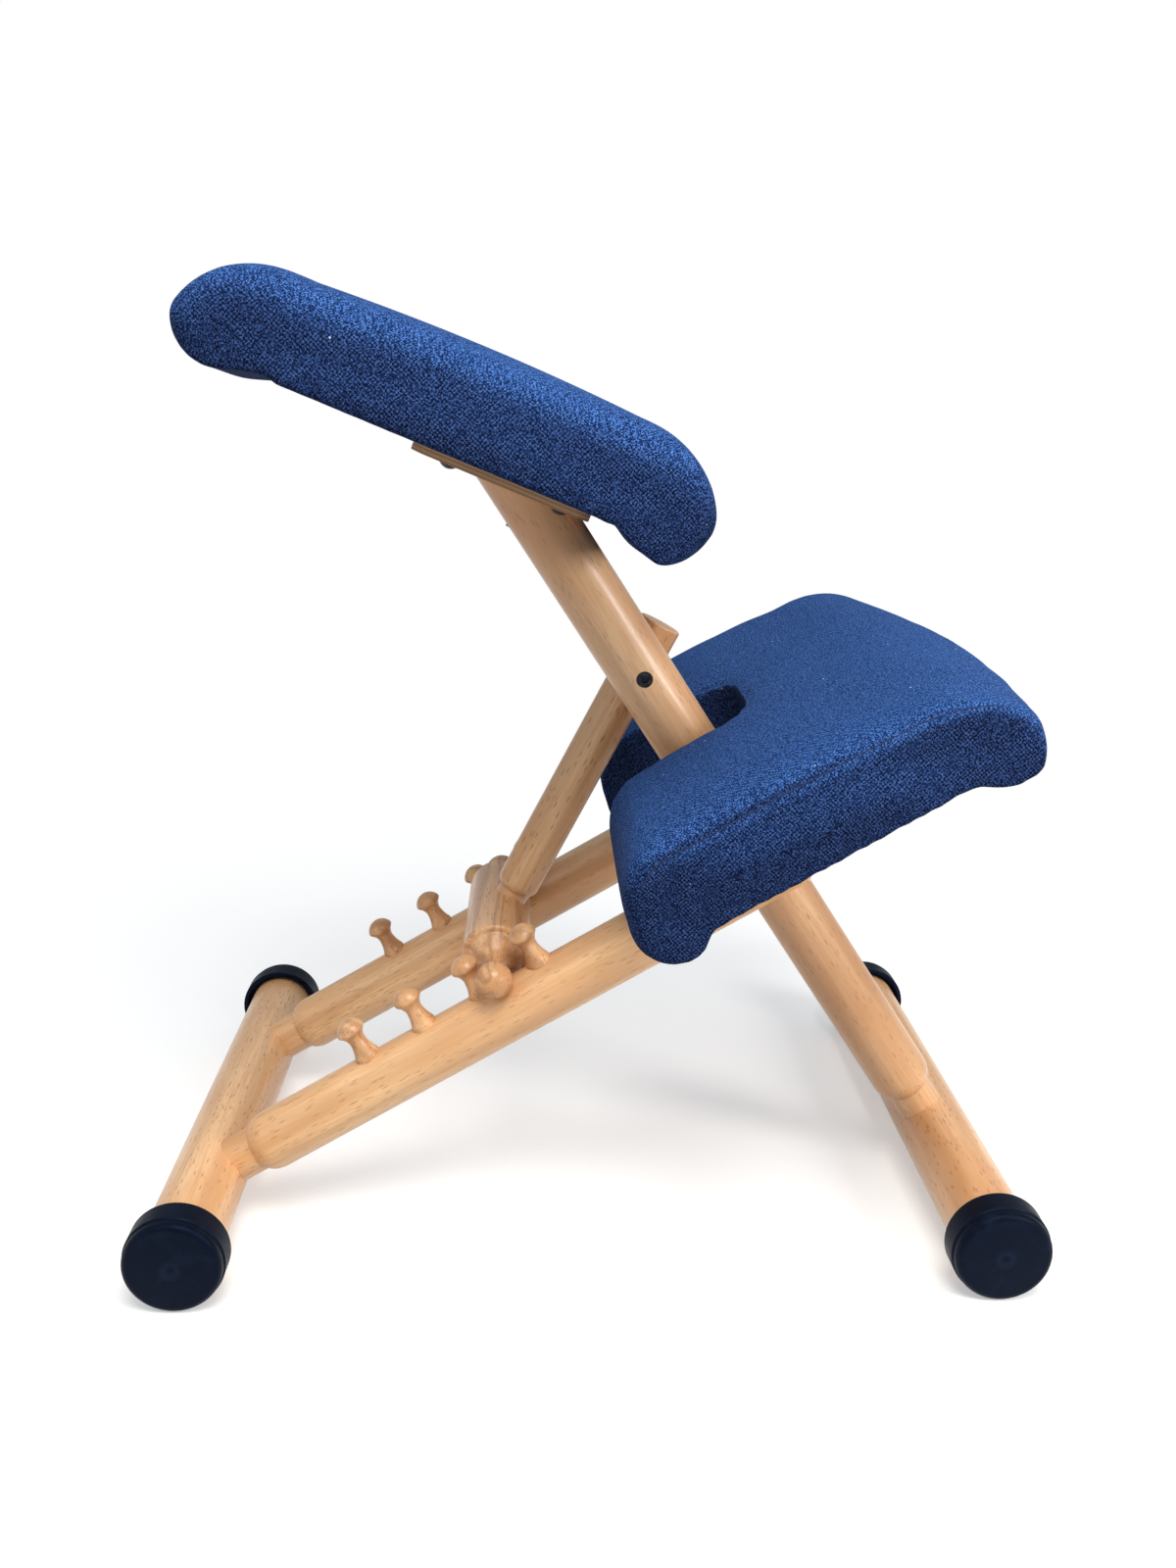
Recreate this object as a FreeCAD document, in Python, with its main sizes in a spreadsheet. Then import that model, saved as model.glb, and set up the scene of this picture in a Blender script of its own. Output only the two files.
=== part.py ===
import FreeCAD, Part
import math
import os
import re

import Sketcher

Vector = FreeCAD.Vector
Rotation = FreeCAD.Rotation
Placement = FreeCAD.Placement

# Wooden kneeling chair, millimetres. The origin is on the floor, midway between the two crossbars.
# +X is the front, +Y is the sitter's left, +Z is up. Lengths along a bar are measured from the
# axis of the crossbar that the bar stands in.
DIMENSIONS = {
    # the side triangle: floor, rail, post
    "crossbar_spacing": 518.0,
    "pivot_on_rail": 433.5,
    "pivot_on_post": 263.0,
    "bolt_on_post": 406.6,
    "post_top": 548.0,
    "seat_slope": 21.8,
    # crossbars and their rubber caps
    "crossbar_length": 405.0,
    "crossbar_radius": 25.0,
    "cap_radius": 32.0,
    "cap_length": 26.0,
    "cap_face_length": 8.6,
    "cap_face_step": 1.0,
    "cap_floor": 5.0,
    "cap_edge": 4.5,
    "cap_dome": 1.0,
    "cap_lip": 1.2,
    "cap_wall": 3.4,
    "cap_recess": 8.0,
    "sole_depth": 0.3,
    # rails, post and their tenons
    "rail_radius": 20.5,
    "rail_offset": 91.6,
    "rail_past_pivot": 24.5,
    "rail_end_round": 3.0,
    "post_radius": 21.2,
    "post_offset": 36.9,
    "tenon_radius": 15.9,
    "tenon_past_axis": 6.0,
    "shoulder_start": 40.0,
    "shoulder_length": 12.0,
    "glue_gap": 0.05,
    # pegs
    "peg_pitch": 44.6,
    "peg_base_radius": 8.6,
    "peg_base_height": 1.6,
    "peg_waist_radius": 5.7,
    "peg_waist_height": 13.0,
    "peg_head_radius": 9.8,
    "peg_head_height": 22.2,
    "peg_neck_height": 19.6,
    "peg_neck_radius": 9.0,
    "peg_height": 29.0,
    "peg_foot_curve": 26.0,
    "peg_neck_curve": 11.0,
    "peg_edge_curve": 2.6,
    "dowel_radius": 4.75,
    "dowel_depth": 14.0,
    # strut and notch bar
    "strut_length": 213.7,
    "strut_radius": 15.2,
    "strut_stub": 32.0,
    "strut_end_round": 1.5,
    "strut_tenon_radius": 11.5,
    "strut_shoulder": 27.0,
    "strut_shoulder_length": 7.0,
    "bar_above_rail": 9.4,
    "bar_ahead_of_peg": 16.2,
    "barrel_radius": 23.0,
    "barrel_half": 69.0,
    "barrel_round": 4.0,
    "end_root_radius": 19.0,
    "end_root_length": 2.0,
    "end_cone_radius": 10.0,
    "end_cone_length": 9.0,
    "neck_radius": 6.1,
    "neck_start": 19.0,
    "neck_curve": 17.0,
    "ball_centre": 108.3,
    "ball_radius": 12.2,
    "end_dowel_radius": 8.0,
    "end_dowel_length": 14.0,
    # pivot bolt of the strut
    "screw_radius": 3.0,
    "screw_head_radius": 5.0,
    "screw_head_length": 6.0,
    "screw_head_sunk": 0.8,
    "hex_across": 5.0,
    "hex_depth": 3.0,
    "counterbore_gap": 0.5,
    "sleeve_radius": 4.0,
    "flange_radius": 6.5,
    "flange_length": 2.5,
    "flange_sunk": 1.0,
    "washer_radius": 8.0,
    "post_spot_depth": 1.9,
    "strut_spot_depth": 2.6,
    "spot_gap": 0.4,
    "running_gap": 0.05,
    # main pivot
    "axle_radius": 5.0,
    "axle_in_nut": 3.5,
    "nut_radius": 9.0,
    "nut_length": 6.0,
    "nut_sunk": 3.0,
    "spacer_radius": 10.0,
    "pivot_spot_depth": 3.0,
    # board under the knee pad, knee pad and its core
    "board_thickness": 11.5,
    "board_rear": 404.0,
    "board_front": 556.0,
    "board_half_width": 180.0,
    "board_corner": 22.0,
    "board_screw_radius": 2.5,
    "board_screw_head_radius": 4.8,
    "board_screw_rear": 413.0,
    "board_screw_front": 449.0,
    "board_screw_bite": 8.0,
    "board_screw_sunk": 4.0,
    "slot_near": 61.0,
    "slot_far": 39.0,
    "slot_front": 474.0,
    "slot_corner": 27.0,
    "board_slot_gap": 3.0,
    "knee_half_width": 222.0,
    "knee_rear": 353.0,
    "knee_front": 635.0,
    "knee_front_bow": 28.0,
    "knee_thickness": 63.0,
    "knee_crown": 12.0,
    "knee_droop": 11.0,
    "knee_flat_rear": 402.0,
    "knee_flat_front": 560.0,
    "knee_rear_hollow_back": 9.0,
    "knee_rear_hollow_drop": 5.0,
    "knee_rear_roll_back": 24.0,
    "knee_rear_face_height": 22.0,
    "knee_rear_crest_in": 7.0,
    "knee_rear_crest_height": 47.0,
    "knee_rear_top_in": 42.0,
    "knee_top_middle": 120.0,
    "knee_slope_start": 190.0,
    "knee_slope_drop": 8.0,
    "knee_brow_in": 35.0,
    "knee_brow_height": 38.0,
    "knee_nose_in": 4.0,
    "knee_nose_height": 12.0,
    "knee_chin_in": 9.0,
    "knee_chin_drop": 3.0,
    "knee_front_roll_out": 27.0,
    "knee_front_hollow_out": 8.0,
    "knee_front_hollow_drop": 4.0,
    "knee_corner": 14.0,
    "knee_bottom_round": 8.0,
    "core_skin": 2.5,
    "core_thickness": 9.0,
    "core_slot_wall": 9.0,
    "knee_core_rear": 376.0,
    "knee_core_front": 590.0,
    "knee_core_half_width": 204.0,
    "knee_core_corner": 30.0,
    "bolt_radius": 3.0,
    "bolt_gap": 0.3,
    "bolt_head_radius": 6.2,
    "bolt_head_height": 3.3,
    "tee_radius": 9.0,
    "tee_flange": 1.5,
    "tee_barrel": 4.2,
    "knee_bolt_rear": 418.0,
    "knee_bolt_front": 535.0,
    "knee_bolt_outer": 150.0,
    "knee_bolt_inner": 60.0,
    # seat plate, seat and its core
    "plate_rear": 75.5,
    "plate_front": 42.4,
    "plate_half_width": 80.0,
    "plate_thickness": 11.5,
    "plate_corner": 12.0,
    "seat_bolt_rear": 51.3,
    "seat_bolt_front": 22.7,
    "seat_bolt_side": 65.0,
    "post_screw_rear": 2.0,
    "post_screw_front": 14.0,
    "post_screw_radius": 2.3,
    "post_screw_head": 4.6,
    "post_screw_length": 36.0,
    "seat_half_width": 205.0,
    "seat_rear": 206.0,
    "seat_front": 101.0,
    "seat_end_bow": 8.0,
    "seat_thickness": 60.5,
    "seat_crown": 3.0,
    "seat_rear_droop": 6.5,
    "seat_front_droop": 11.5,
    "seat_flat_rear": 145.0,
    "seat_flat_front": 43.0,
    "seat_top_round": 24.0,
    "seat_bottom_round": 9.0,
    "seat_rear_hollow_back": 18.0,
    "seat_rear_hollow_drop": 4.0,
    "seat_rear_roll_in": 20.0,
    "seat_rear_roll_rise": 2.0,
    "seat_rear_face_height": 16.0,
    "seat_rear_crest_in": 13.0,
    "seat_rear_crest_drop": 16.0,
    "seat_rear_top_in": 54.0,
    "seat_rear_top_drop": 2.0,
    "seat_top_middle": -70.0,
    "seat_brow_start": 42.0,
    "seat_brow_drop": 3.5,
    "seat_nose_in": 16.0,
    "seat_nose_drop": 17.0,
    "seat_nose_height": 22.0,
    "seat_chin_in": 8.0,
    "seat_chin_height": 1.0,
    "seat_front_roll_in": 25.0,
    "seat_front_hollow_out": 18.0,
    "seat_front_hollow_drop": 8.0,
    "seat_corner": 34.0,
    "seat_core_rear": 178.0,
    "seat_core_front": 74.0,
    "seat_core_half_width": 180.0,
    "seat_core_corner": 30.0,
    "soft_gap": 0.3,
}


def angle_between(first, second, opposite):
    return math.degrees(math.acos((first**2 + second**2 - opposite**2) / (2 * first * second)))


def derived(size):
    """What follows from the side triangle, in degrees and millimetres."""
    base, rail, post = size["crossbar_spacing"], size["pivot_on_rail"], size["pivot_on_post"]
    rail_angle = angle_between(base, rail, post)
    post_angle = angle_between(base, post, rail)
    past_pivot = size["bolt_on_post"] - post
    between = math.radians(180 - rail_angle - post_angle)
    bolt_s = rail + past_pivot * math.cos(between)
    bolt_n = past_pivot * math.sin(between)
    bar_n = size["rail_radius"] + size["bar_above_rail"]
    drop = bolt_n - bar_n
    bar_s = bolt_s - math.sqrt(size["strut_length"] ** 2 - drop**2)
    lean = math.radians(size["seat_slope"] + 90 - post_angle)
    return {
        "rail_angle": rail_angle,
        "post_angle": post_angle,
        "strut_angle": rail_angle + math.degrees(math.atan2(drop, bolt_s - bar_s)),
        "peg_first": bar_s - size["bar_ahead_of_peg"] - 2 * size["peg_pitch"],
        "plate_lean": math.degrees(lean),
        "plate_cut_across": math.cos(lean),
        "plate_cut_along": math.sin(lean),
    }


SIZE = dict(DIMENSIONS)
SIZE.update(derived(DIMENSIONS))

doc = FreeCAD.newDocument("kneeling_chair")
sheet = doc.addObject("Spreadsheet::Sheet", "dims")
for row, (alias, value) in enumerate(SIZE.items(), start=1):
    sheet.set(f"A{row}", alias.replace("_", " "))
    sheet.set(f"B{row}", repr(value))
    sheet.setAlias(f"B{row}", alias)
doc.recompute()

WORDS = re.compile(r"[a-z_]{3,}")
FUNCTIONS = ("sqrt",)


def bound(text):
    """An expression over the sheet's aliases."""
    return WORDS.sub(lambda word: word[0] if word[0] in FUNCTIONS else "dims." + word[0], text)


def number(text):
    return float(sheet.evalExpression(bound(text)))


def tilted(x, y, z, degrees):
    """A frame at a point, turned about the Y axis."""
    return Placement(Vector(x, y, z), Rotation(Vector(0, 1, 0), degrees))


AXIS_HEIGHT = number("cap_radius - sole_depth")
HALF_SPACING = number("crossbar_spacing / 2")
UPRIGHT = Placement()
HALF_TURN = Placement(Vector(), Rotation(Vector(0, 0, 1), 180))

# X runs up the rail, Z stands square on it
RAIL_FRAME = tilted(-HALF_SPACING, 0, AXIS_HEIGHT, -number("rail_angle"))
# Z runs up the post, X points forward
POST_FRAME = tilted(HALF_SPACING, 0, AXIS_HEIGHT, number("post_angle") - 90)
BOLT_POINT = POST_FRAME.multVec(Vector(0, 0, number("bolt_on_post")))
# Z runs up the strut from the bolt
STRUT_FRAME = tilted(BOLT_POINT.x, 0, BOLT_POINT.z, 90 - number("strut_angle"))
SEAT_POINT = POST_FRAME.multVec(Vector(0, 0, number("post_top")))
# X runs down the seat to its front, Z stands square on the plate
SEAT_FRAME = tilted(SEAT_POINT.x, 0, SEAT_POINT.z, number("seat_slope"))
PIVOT_FRAME = RAIL_FRAME.multiply(Placement(Vector(number("pivot_on_rail"), 0, 0), Rotation()))
BAR_FRAME = STRUT_FRAME.multiply(Placement(Vector(0, 0, -number("strut_length")), Rotation()))


def shifted(frame, x="0", y="0", z="0"):
    return frame.multiply(Placement(Vector(number(x), number(y), number(z)), Rotation()))


def new_body(label, frame):
    body = doc.addObject("PartDesign::Body", label)
    body.Label = label
    body.Placement = frame
    return body


def own_plane(body, role):
    return [item for item in body.Origin.OriginFeatures if item.Role == role][0]


def new_sketch(body, name, plane, offset=("0", "0", "0"), turn="0"):
    """A sketch on one of the body's own planes, moved and turned in the plane's own axes."""
    sketch = body.newObject("Sketcher::SketchObject", name)
    sketch.AttachmentSupport = [(own_plane(body, plane), "")]
    sketch.MapMode = "FlatFace"
    sketch.AttachmentOffset = Placement(Vector(), Rotation(Vector(0, 0, 1), number(turn)))
    for axis, text in zip("xyz", offset):
        if text != "0":
            sketch.setExpression(f".AttachmentOffset.Base.{axis}", bound(text))
    return sketch


def fix_point(sketch, geometry, end, x, y):
    for kind, text in (("DistanceX", x), ("DistanceY", y)):
        index = sketch.addConstraint(Sketcher.Constraint(kind, geometry, end, number(text)))
        sketch.setExpression(f"Constraints[{index}]", bound(text))


def fix_radius(sketch, geometry, text):
    index = sketch.addConstraint(Sketcher.Constraint("Radius", geometry, number(text)))
    sketch.setExpression(f"Constraints[{index}]", bound(text))


def bulged(start, end, radius, side):
    """Middle point of the minor arc from start to end that bulges to the left (+1) or right."""
    chord = end - start
    left = Vector(-chord.y, chord.x, 0).normalize()
    rise = radius - math.sqrt(radius**2 - (chord.Length / 2) ** 2)
    return (start + end) * 0.5 + left * rise * side


def draw_outline(sketch, corners):
    """A closed outline. A corner is x, y, and for an arc from the corner before: radius, side."""
    points = [Vector(number(corner[0]), number(corner[1]), 0) for corner in corners]
    for index, corner in enumerate(corners):
        start, end = points[index - 1], points[index]
        if len(corner) == 2:
            geometry = sketch.addGeometry(Part.LineSegment(start, end), False)
        else:
            middle = bulged(start, end, number(corner[2]), corner[3])
            geometry = sketch.addGeometry(Part.ArcOfCircle(start, middle, end), False)
            fix_radius(sketch, geometry, corner[2])
        forward = (sketch.getPoint(geometry, 1) - start).Length < 1e-6
        ends = (1, 2) if forward else (2, 1)
        fix_point(sketch, geometry, ends[0], *corners[index - 1][:2])
        fix_point(sketch, geometry, ends[1], *corner[:2])


def draw_circles(sketch, centres, radius):
    for x, y in centres:
        circle = Part.Circle(Vector(number(x), number(y), 0), Vector(0, 0, 1), number(radius))
        geometry = sketch.addGeometry(circle, False)
        fix_point(sketch, geometry, 3, x, y)
        fix_radius(sketch, geometry, radius)


def revolve(body, name, corners, plane="XZ_Plane", axis="V_Axis", offset=("0", "0", "0")):
    sketch = new_sketch(body, name + "_profile", plane, offset)
    draw_outline(sketch, corners)
    feature = body.newObject("PartDesign::Revolution", name)
    feature.Profile = sketch
    feature.ReferenceAxis = (sketch, [axis])
    feature.Angle = 360
    return feature


def groove(body, name, corners, offset, turn="0"):
    sketch = new_sketch(body, name + "_profile", "XZ_Plane", offset, turn)
    draw_outline(sketch, corners)
    feature = body.newObject("PartDesign::Groove", name)
    feature.Profile = sketch
    feature.ReferenceAxis = (sketch, ["V_Axis"])
    feature.Angle = 360
    return feature


def pad(body, name, corners, plane, start, length):
    sketch = new_sketch(body, name + "_outline", plane, ("0", "0", start))
    draw_outline(sketch, corners)
    feature = body.newObject("PartDesign::Pad", name)
    feature.Profile = sketch
    feature.setExpression("Length", bound(length))
    return feature


def cut_away(body, name, sketch, length=None):
    """Cuts from the sketch against its normal, right through where no length is given."""
    feature = body.newObject("PartDesign::Pocket", name)
    feature.Profile = sketch
    if length is None:
        feature.Type = "ThroughAll"
    else:
        feature.setExpression("Length", bound(length))
    return feature


def drill(body, name, plane, start, centres, radius, length=None):
    sketch = new_sketch(body, name + "_circles", plane, ("0", "0", start))
    draw_circles(sketch, centres, radius)
    return cut_away(body, name, sketch, length)


def shoulder(radius, neck):
    """Radius of the arc that leaves the bar tangent and ends at the tenon."""
    drop = f"({radius} - {neck})"
    return f"(shoulder_length^2 + {drop}^2) / (2 * {drop})"


def crossbar(label, frame, plane, sockets):
    """A bar along Y with a blind socket for each tenon."""
    body = new_body(label, frame)
    half = "(crossbar_length / 2 - cap_floor - glue_gap)"
    bar = [("0", "-" + half), ("crossbar_radius", "-" + half), ("crossbar_radius", half), ("0", half)]
    revolve(body, label + "_bar", bar, "XY_Plane")
    drill(body, label + "_sockets", plane, "crossbar_radius + 1", sockets,
          "tenon_radius + glue_gap", "crossbar_radius + 1 + tenon_past_axis + glue_gap")
    return body


def crossbar_cap(label, x, turn):
    """A rubber cap: its axis is Y, its face is outward, its sole is flat where it bears."""
    end = Placement(Vector(x, 0, AXIS_HEIGHT), Rotation()).multiply(turn)
    body = new_body(label, shifted(end, "0", "crossbar_length / 2", "0"))
    face = "(cap_radius - cap_face_step)"
    profile = [
        ("0", "-cap_floor"),
        ("crossbar_radius + glue_gap", "-cap_floor"),
        ("crossbar_radius + glue_gap", "-cap_length + cap_recess"),
        ("cap_radius - cap_wall", "-cap_length + cap_recess"),
        ("cap_radius - cap_wall", "-cap_length"),
        ("cap_radius - cap_lip", "-cap_length"),
        ("cap_radius", "-cap_length + cap_lip", "cap_lip", -1),
        ("cap_radius", "-cap_face_length - cap_face_step"),
        (face, "-cap_face_length"),
        (face, "-cap_edge - cap_dome"),
        (face + " - cap_edge", "-cap_dome", "cap_edge", -1),
        ("0", "0", f"({face} - cap_edge)^2 / (2 * cap_dome) + cap_dome / 2", -1),
    ]
    revolve(body, label + "_turning", profile, "XY_Plane")
    sole = new_sketch(body, label + "_sole", "XZ_Plane", ("0", "0", "cap_length + 1"))
    side = "cap_radius / 2"
    low, high = "-cap_radius - 1", "-cap_radius + sole_depth"
    draw_outline(sole, [("-" + side, low), (side, low), (side, high), ("-" + side, high)])
    cut_away(body, label + "_sole_cut", sole)
    return body


def peg_place(index):
    return f"peg_first + {index} * peg_pitch"


def rail(label, side):
    """A round bar with a tenon at its foot, holes for its pegs, the axle and the board screws."""
    body = new_body(label, shifted(RAIL_FRAME, "0", f"{side} * rail_offset"))
    end = "(pivot_on_rail + rail_past_pivot)"
    profile = [
        ("-tenon_past_axis", "0"),
        ("-tenon_past_axis", "tenon_radius"),
        ("shoulder_start", "tenon_radius"),
        ("shoulder_start + shoulder_length", "rail_radius", shoulder("rail_radius", "tenon_radius"), 1),
        (end + " - rail_end_round", "rail_radius"),
        (end, "rail_radius - rail_end_round", "rail_end_round", 1),
        (end, "0"),
    ]
    revolve(body, label + "_bar", profile, axis="H_Axis")
    drill(body, label + "_peg_holes", "XY_Plane", "rail_radius + 1",
          [(peg_place(index), "0") for index in range(4)],
          "dowel_radius + glue_gap", "dowel_depth + glue_gap + 1")
    drill(body, label + "_axle_hole", "XZ_Plane", "rail_radius + 1", [("pivot_on_rail", "0")],
          "axle_radius + running_gap")
    outer = new_sketch(body, label + "_nut_circle", "XZ_Plane", ("0", "0", f"-{side} * (rail_radius + 1)"))
    draw_circles(outer, [("pivot_on_rail", "0")], "nut_radius + counterbore_gap")
    nut_seat = cut_away(body, label + "_nut_seat", outer, "1 + nut_sunk + nut_length")
    nut_seat.Reversed = side > 0
    inner = new_sketch(body, label + "_spacer_circle", "XZ_Plane", ("0", "0", f"{side} * (rail_radius + 1)"))
    draw_circles(inner, [("pivot_on_rail", "0")], "spacer_radius + spot_gap")
    spot = cut_away(body, label + "_spacer_seat", inner, "1 + pivot_spot_depth")
    spot.Reversed = side < 0
    screws = [("board_screw_rear", "0"), ("board_screw_front", "0")]
    drill(body, label + "_screw_holes", "XY_Plane", "rail_radius + 1", screws,
          "board_screw_radius + bolt_gap")
    heads = new_sketch(body, label + "_head_circles", "XY_Plane", ("0", "0", "-rail_radius - 1"))
    draw_circles(heads, screws, "board_screw_head_radius + bolt_gap")
    head_seat = cut_away(body, label + "_head_seats", heads, "1 + board_screw_sunk + bolt_head_height")
    head_seat.Reversed = True
    return body


def peg(label, side, index):
    """A turned peg, scribed to the rail it stands on, with a dowel into it."""
    body = new_body(label, shifted(RAIL_FRAME, peg_place(index), f"{side} * rail_offset"))
    dome = "(peg_height - peg_head_height)"
    stem = [
        ("0", "rail_radius - peg_base_height"),
        ("peg_base_radius", "rail_radius - peg_base_height"),
        ("peg_base_radius", "rail_radius + peg_base_height"),
        ("peg_waist_radius", "rail_radius + peg_waist_height", "peg_foot_curve", 1),
        ("peg_neck_radius", "rail_radius + peg_neck_height", "peg_neck_curve", 1),
        ("peg_head_radius", "rail_radius + peg_head_height", "peg_edge_curve", -1),
        ("0", "rail_radius + peg_height", f"(peg_head_radius^2 + {dome}^2) / (2 * {dome})", -1),
    ]
    revolve(body, label + "_turning", stem)
    scribe = new_sketch(body, label + "_scribe", "YZ_Plane", ("0", "0", "peg_base_radius + 1"))
    draw_circles(scribe, [("0", "0")], "rail_radius")
    cut_away(body, label + "_scribe_cut", scribe)
    dowel = [
        ("0", "rail_radius - dowel_depth"),
        ("dowel_radius", "rail_radius - dowel_depth"),
        ("dowel_radius", "rail_radius + peg_base_height"),
        ("0", "rail_radius + peg_base_height"),
    ]
    revolve(body, label + "_dowel", dowel)
    return body


POST_SCREWS = [("-post_screw_rear", "rear"), ("post_screw_front", "front")]


def post():
    """The post, cut slanted under the seat plate. Its axis is beside the middle of the chair."""
    body = new_body("post", shifted(POST_FRAME, "0", "-post_offset"))
    top = "(post_top + post_radius * plate_cut_along / plate_cut_across)"
    profile = [
        ("0", "-tenon_past_axis"),
        ("tenon_radius", "-tenon_past_axis"),
        ("tenon_radius", "shoulder_start"),
        ("post_radius", "shoulder_start + shoulder_length", shoulder("post_radius", "tenon_radius"), -1),
        ("post_radius", top),
        ("0", top),
    ]
    revolve(body, "post_bar", profile)
    reach = "(2 * post_radius / plate_cut_across)"
    slant = new_sketch(body, "post_slant", "XZ_Plane", ("0", "0", "post_radius + 1"))
    draw_outline(slant, [
        (f"-{reach} * plate_cut_across", f"post_top + {reach} * plate_cut_along"),
        (f"{reach} * plate_cut_across", f"post_top - {reach} * plate_cut_along"),
        (f"{reach} * plate_cut_across", f"post_top + {reach} * plate_cut_along"),
    ])
    cut_away(body, "post_slant_cut", slant)
    drill(body, "post_axle_hole", "XZ_Plane", "post_radius + 1", [("0", "pivot_on_post")],
          "axle_radius + running_gap")
    drill(body, "post_screw_hole", "XZ_Plane", "post_radius + 1", [("0", "bolt_on_post")],
          "screw_radius + glue_gap")
    drill(body, "post_screw_head", "XZ_Plane", "post_radius + 1", [("0", "bolt_on_post")],
          "screw_head_radius + counterbore_gap", "1 + screw_head_sunk + screw_head_length")
    drill(body, "post_near_spot", "XZ_Plane", "post_radius + 1", [("0", "pivot_on_post")],
          "spacer_radius + spot_gap", "1 + pivot_spot_depth")
    far_spot = drill(body, "post_far_spot", "XZ_Plane", "-post_radius - 1", [("0", "pivot_on_post")],
                     "spacer_radius + spot_gap", "1 + pivot_spot_depth")
    far_spot.Reversed = True
    washer_spot = drill(body, "post_washer_spot", "XZ_Plane", "-post_radius - 1",
                        [("0", "bolt_on_post")], "washer_radius + spot_gap", "1 + post_spot_depth")
    washer_spot.Reversed = True
    bite = "(post_screw_length - plate_thickness)"
    pilot = [("0", "-" + bite), ("post_screw_radius", "-" + bite), ("post_screw_radius", "1"), ("0", "1")]
    for place, name in POST_SCREWS:
        groove(body, "post_pilot_" + name, pilot,
               (f"{place} * plate_cut_across", f"post_top - {place} * plate_cut_along", "0"), "-plate_lean")
    return body


def strut():
    """The strut turns on the screw's sleeve. Its foot has a tenon into the notch bar's barrel."""
    body = new_body("strut", STRUT_FRAME)
    drop = "(strut_radius - strut_tenon_radius)"
    round_off = f"(strut_shoulder_length^2 + {drop}^2) / (2 * {drop})"
    foot = "(strut_shoulder - strut_length)"
    profile = [
        ("0", "-strut_length - tenon_past_axis"),
        ("strut_tenon_radius", "-strut_length - tenon_past_axis"),
        ("strut_tenon_radius", foot),
        ("strut_radius", foot + " + strut_shoulder_length", round_off, -1),
        ("strut_radius", "strut_stub - strut_end_round"),
        ("strut_radius - strut_end_round", "strut_stub", "strut_end_round", -1),
        ("0", "strut_stub"),
    ]
    revolve(body, "strut_bar", profile)
    drill(body, "strut_sleeve_hole", "XZ_Plane", "strut_radius + 1", [("0", "0")],
          "sleeve_radius + running_gap")
    drill(body, "strut_washer_spot", "XZ_Plane", "strut_radius + 1", [("0", "0")],
          "washer_radius + spot_gap", "1 + strut_spot_depth")
    flange = drill(body, "strut_flange_seat", "XZ_Plane", "-strut_radius - 1", [("0", "0")],
                   "flange_radius + counterbore_gap", "1 + flange_sunk + flange_length")
    flange.Reversed = True
    return body


def notch_barrel():
    """The middle of the notch bar, with a socket for the strut and one for each turned end."""
    body = new_body("notch_barrel", BAR_FRAME)
    profile = [
        ("0", "-barrel_half"),
        ("barrel_radius - barrel_round", "-barrel_half"),
        ("barrel_radius", "-barrel_half + barrel_round", "barrel_round", -1),
        ("barrel_radius", "barrel_half - barrel_round"),
        ("barrel_radius - barrel_round", "barrel_half", "barrel_round", -1),
        ("0", "barrel_half"),
    ]
    revolve(body, "barrel_bar", profile, "XY_Plane")
    drill(body, "barrel_strut_socket", "XY_Plane", "barrel_radius + 1", [("0", "0")],
          "strut_tenon_radius + glue_gap", "barrel_radius + 1 + tenon_past_axis + glue_gap")
    for name, sign in (("near", "1"), ("far", "-1")):
        socket = drill(body, "barrel_end_socket_" + name, "XZ_Plane", f"{sign} * barrel_half",
                       [("0", "0")], "end_dowel_radius + glue_gap", "end_dowel_length + glue_gap")
        socket.Reversed = sign == "-1"
    return body


def notch_end(label, turn):
    """A turned end: cone, neck that lies over the rail, and ball outside it."""
    body = new_body(label, BAR_FRAME.multiply(turn))
    profile = [
        ("0", "barrel_half - end_dowel_length"),
        ("end_dowel_radius", "barrel_half - end_dowel_length"),
        ("end_dowel_radius", "barrel_half"),
        ("end_root_radius", "barrel_half"),
        ("end_root_radius", "barrel_half + end_root_length"),
        ("end_cone_radius", "barrel_half + end_root_length + end_cone_length"),
        ("neck_radius", "barrel_half + neck_start", "neck_curve", 1),
        ("neck_radius", "ball_centre - sqrt(ball_radius^2 - neck_radius^2)"),
        ("0", "ball_centre + ball_radius", "ball_radius", -1),
    ]
    revolve(body, label + "_turning", profile, "XY_Plane")
    return body


def tube(label, frame, inner, outer, start, end):
    body = new_body(label, frame)
    revolve(body, label + "_tube", [(inner, start), (outer, start), (outer, end), (inner, end)], "XY_Plane")
    return body


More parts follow.
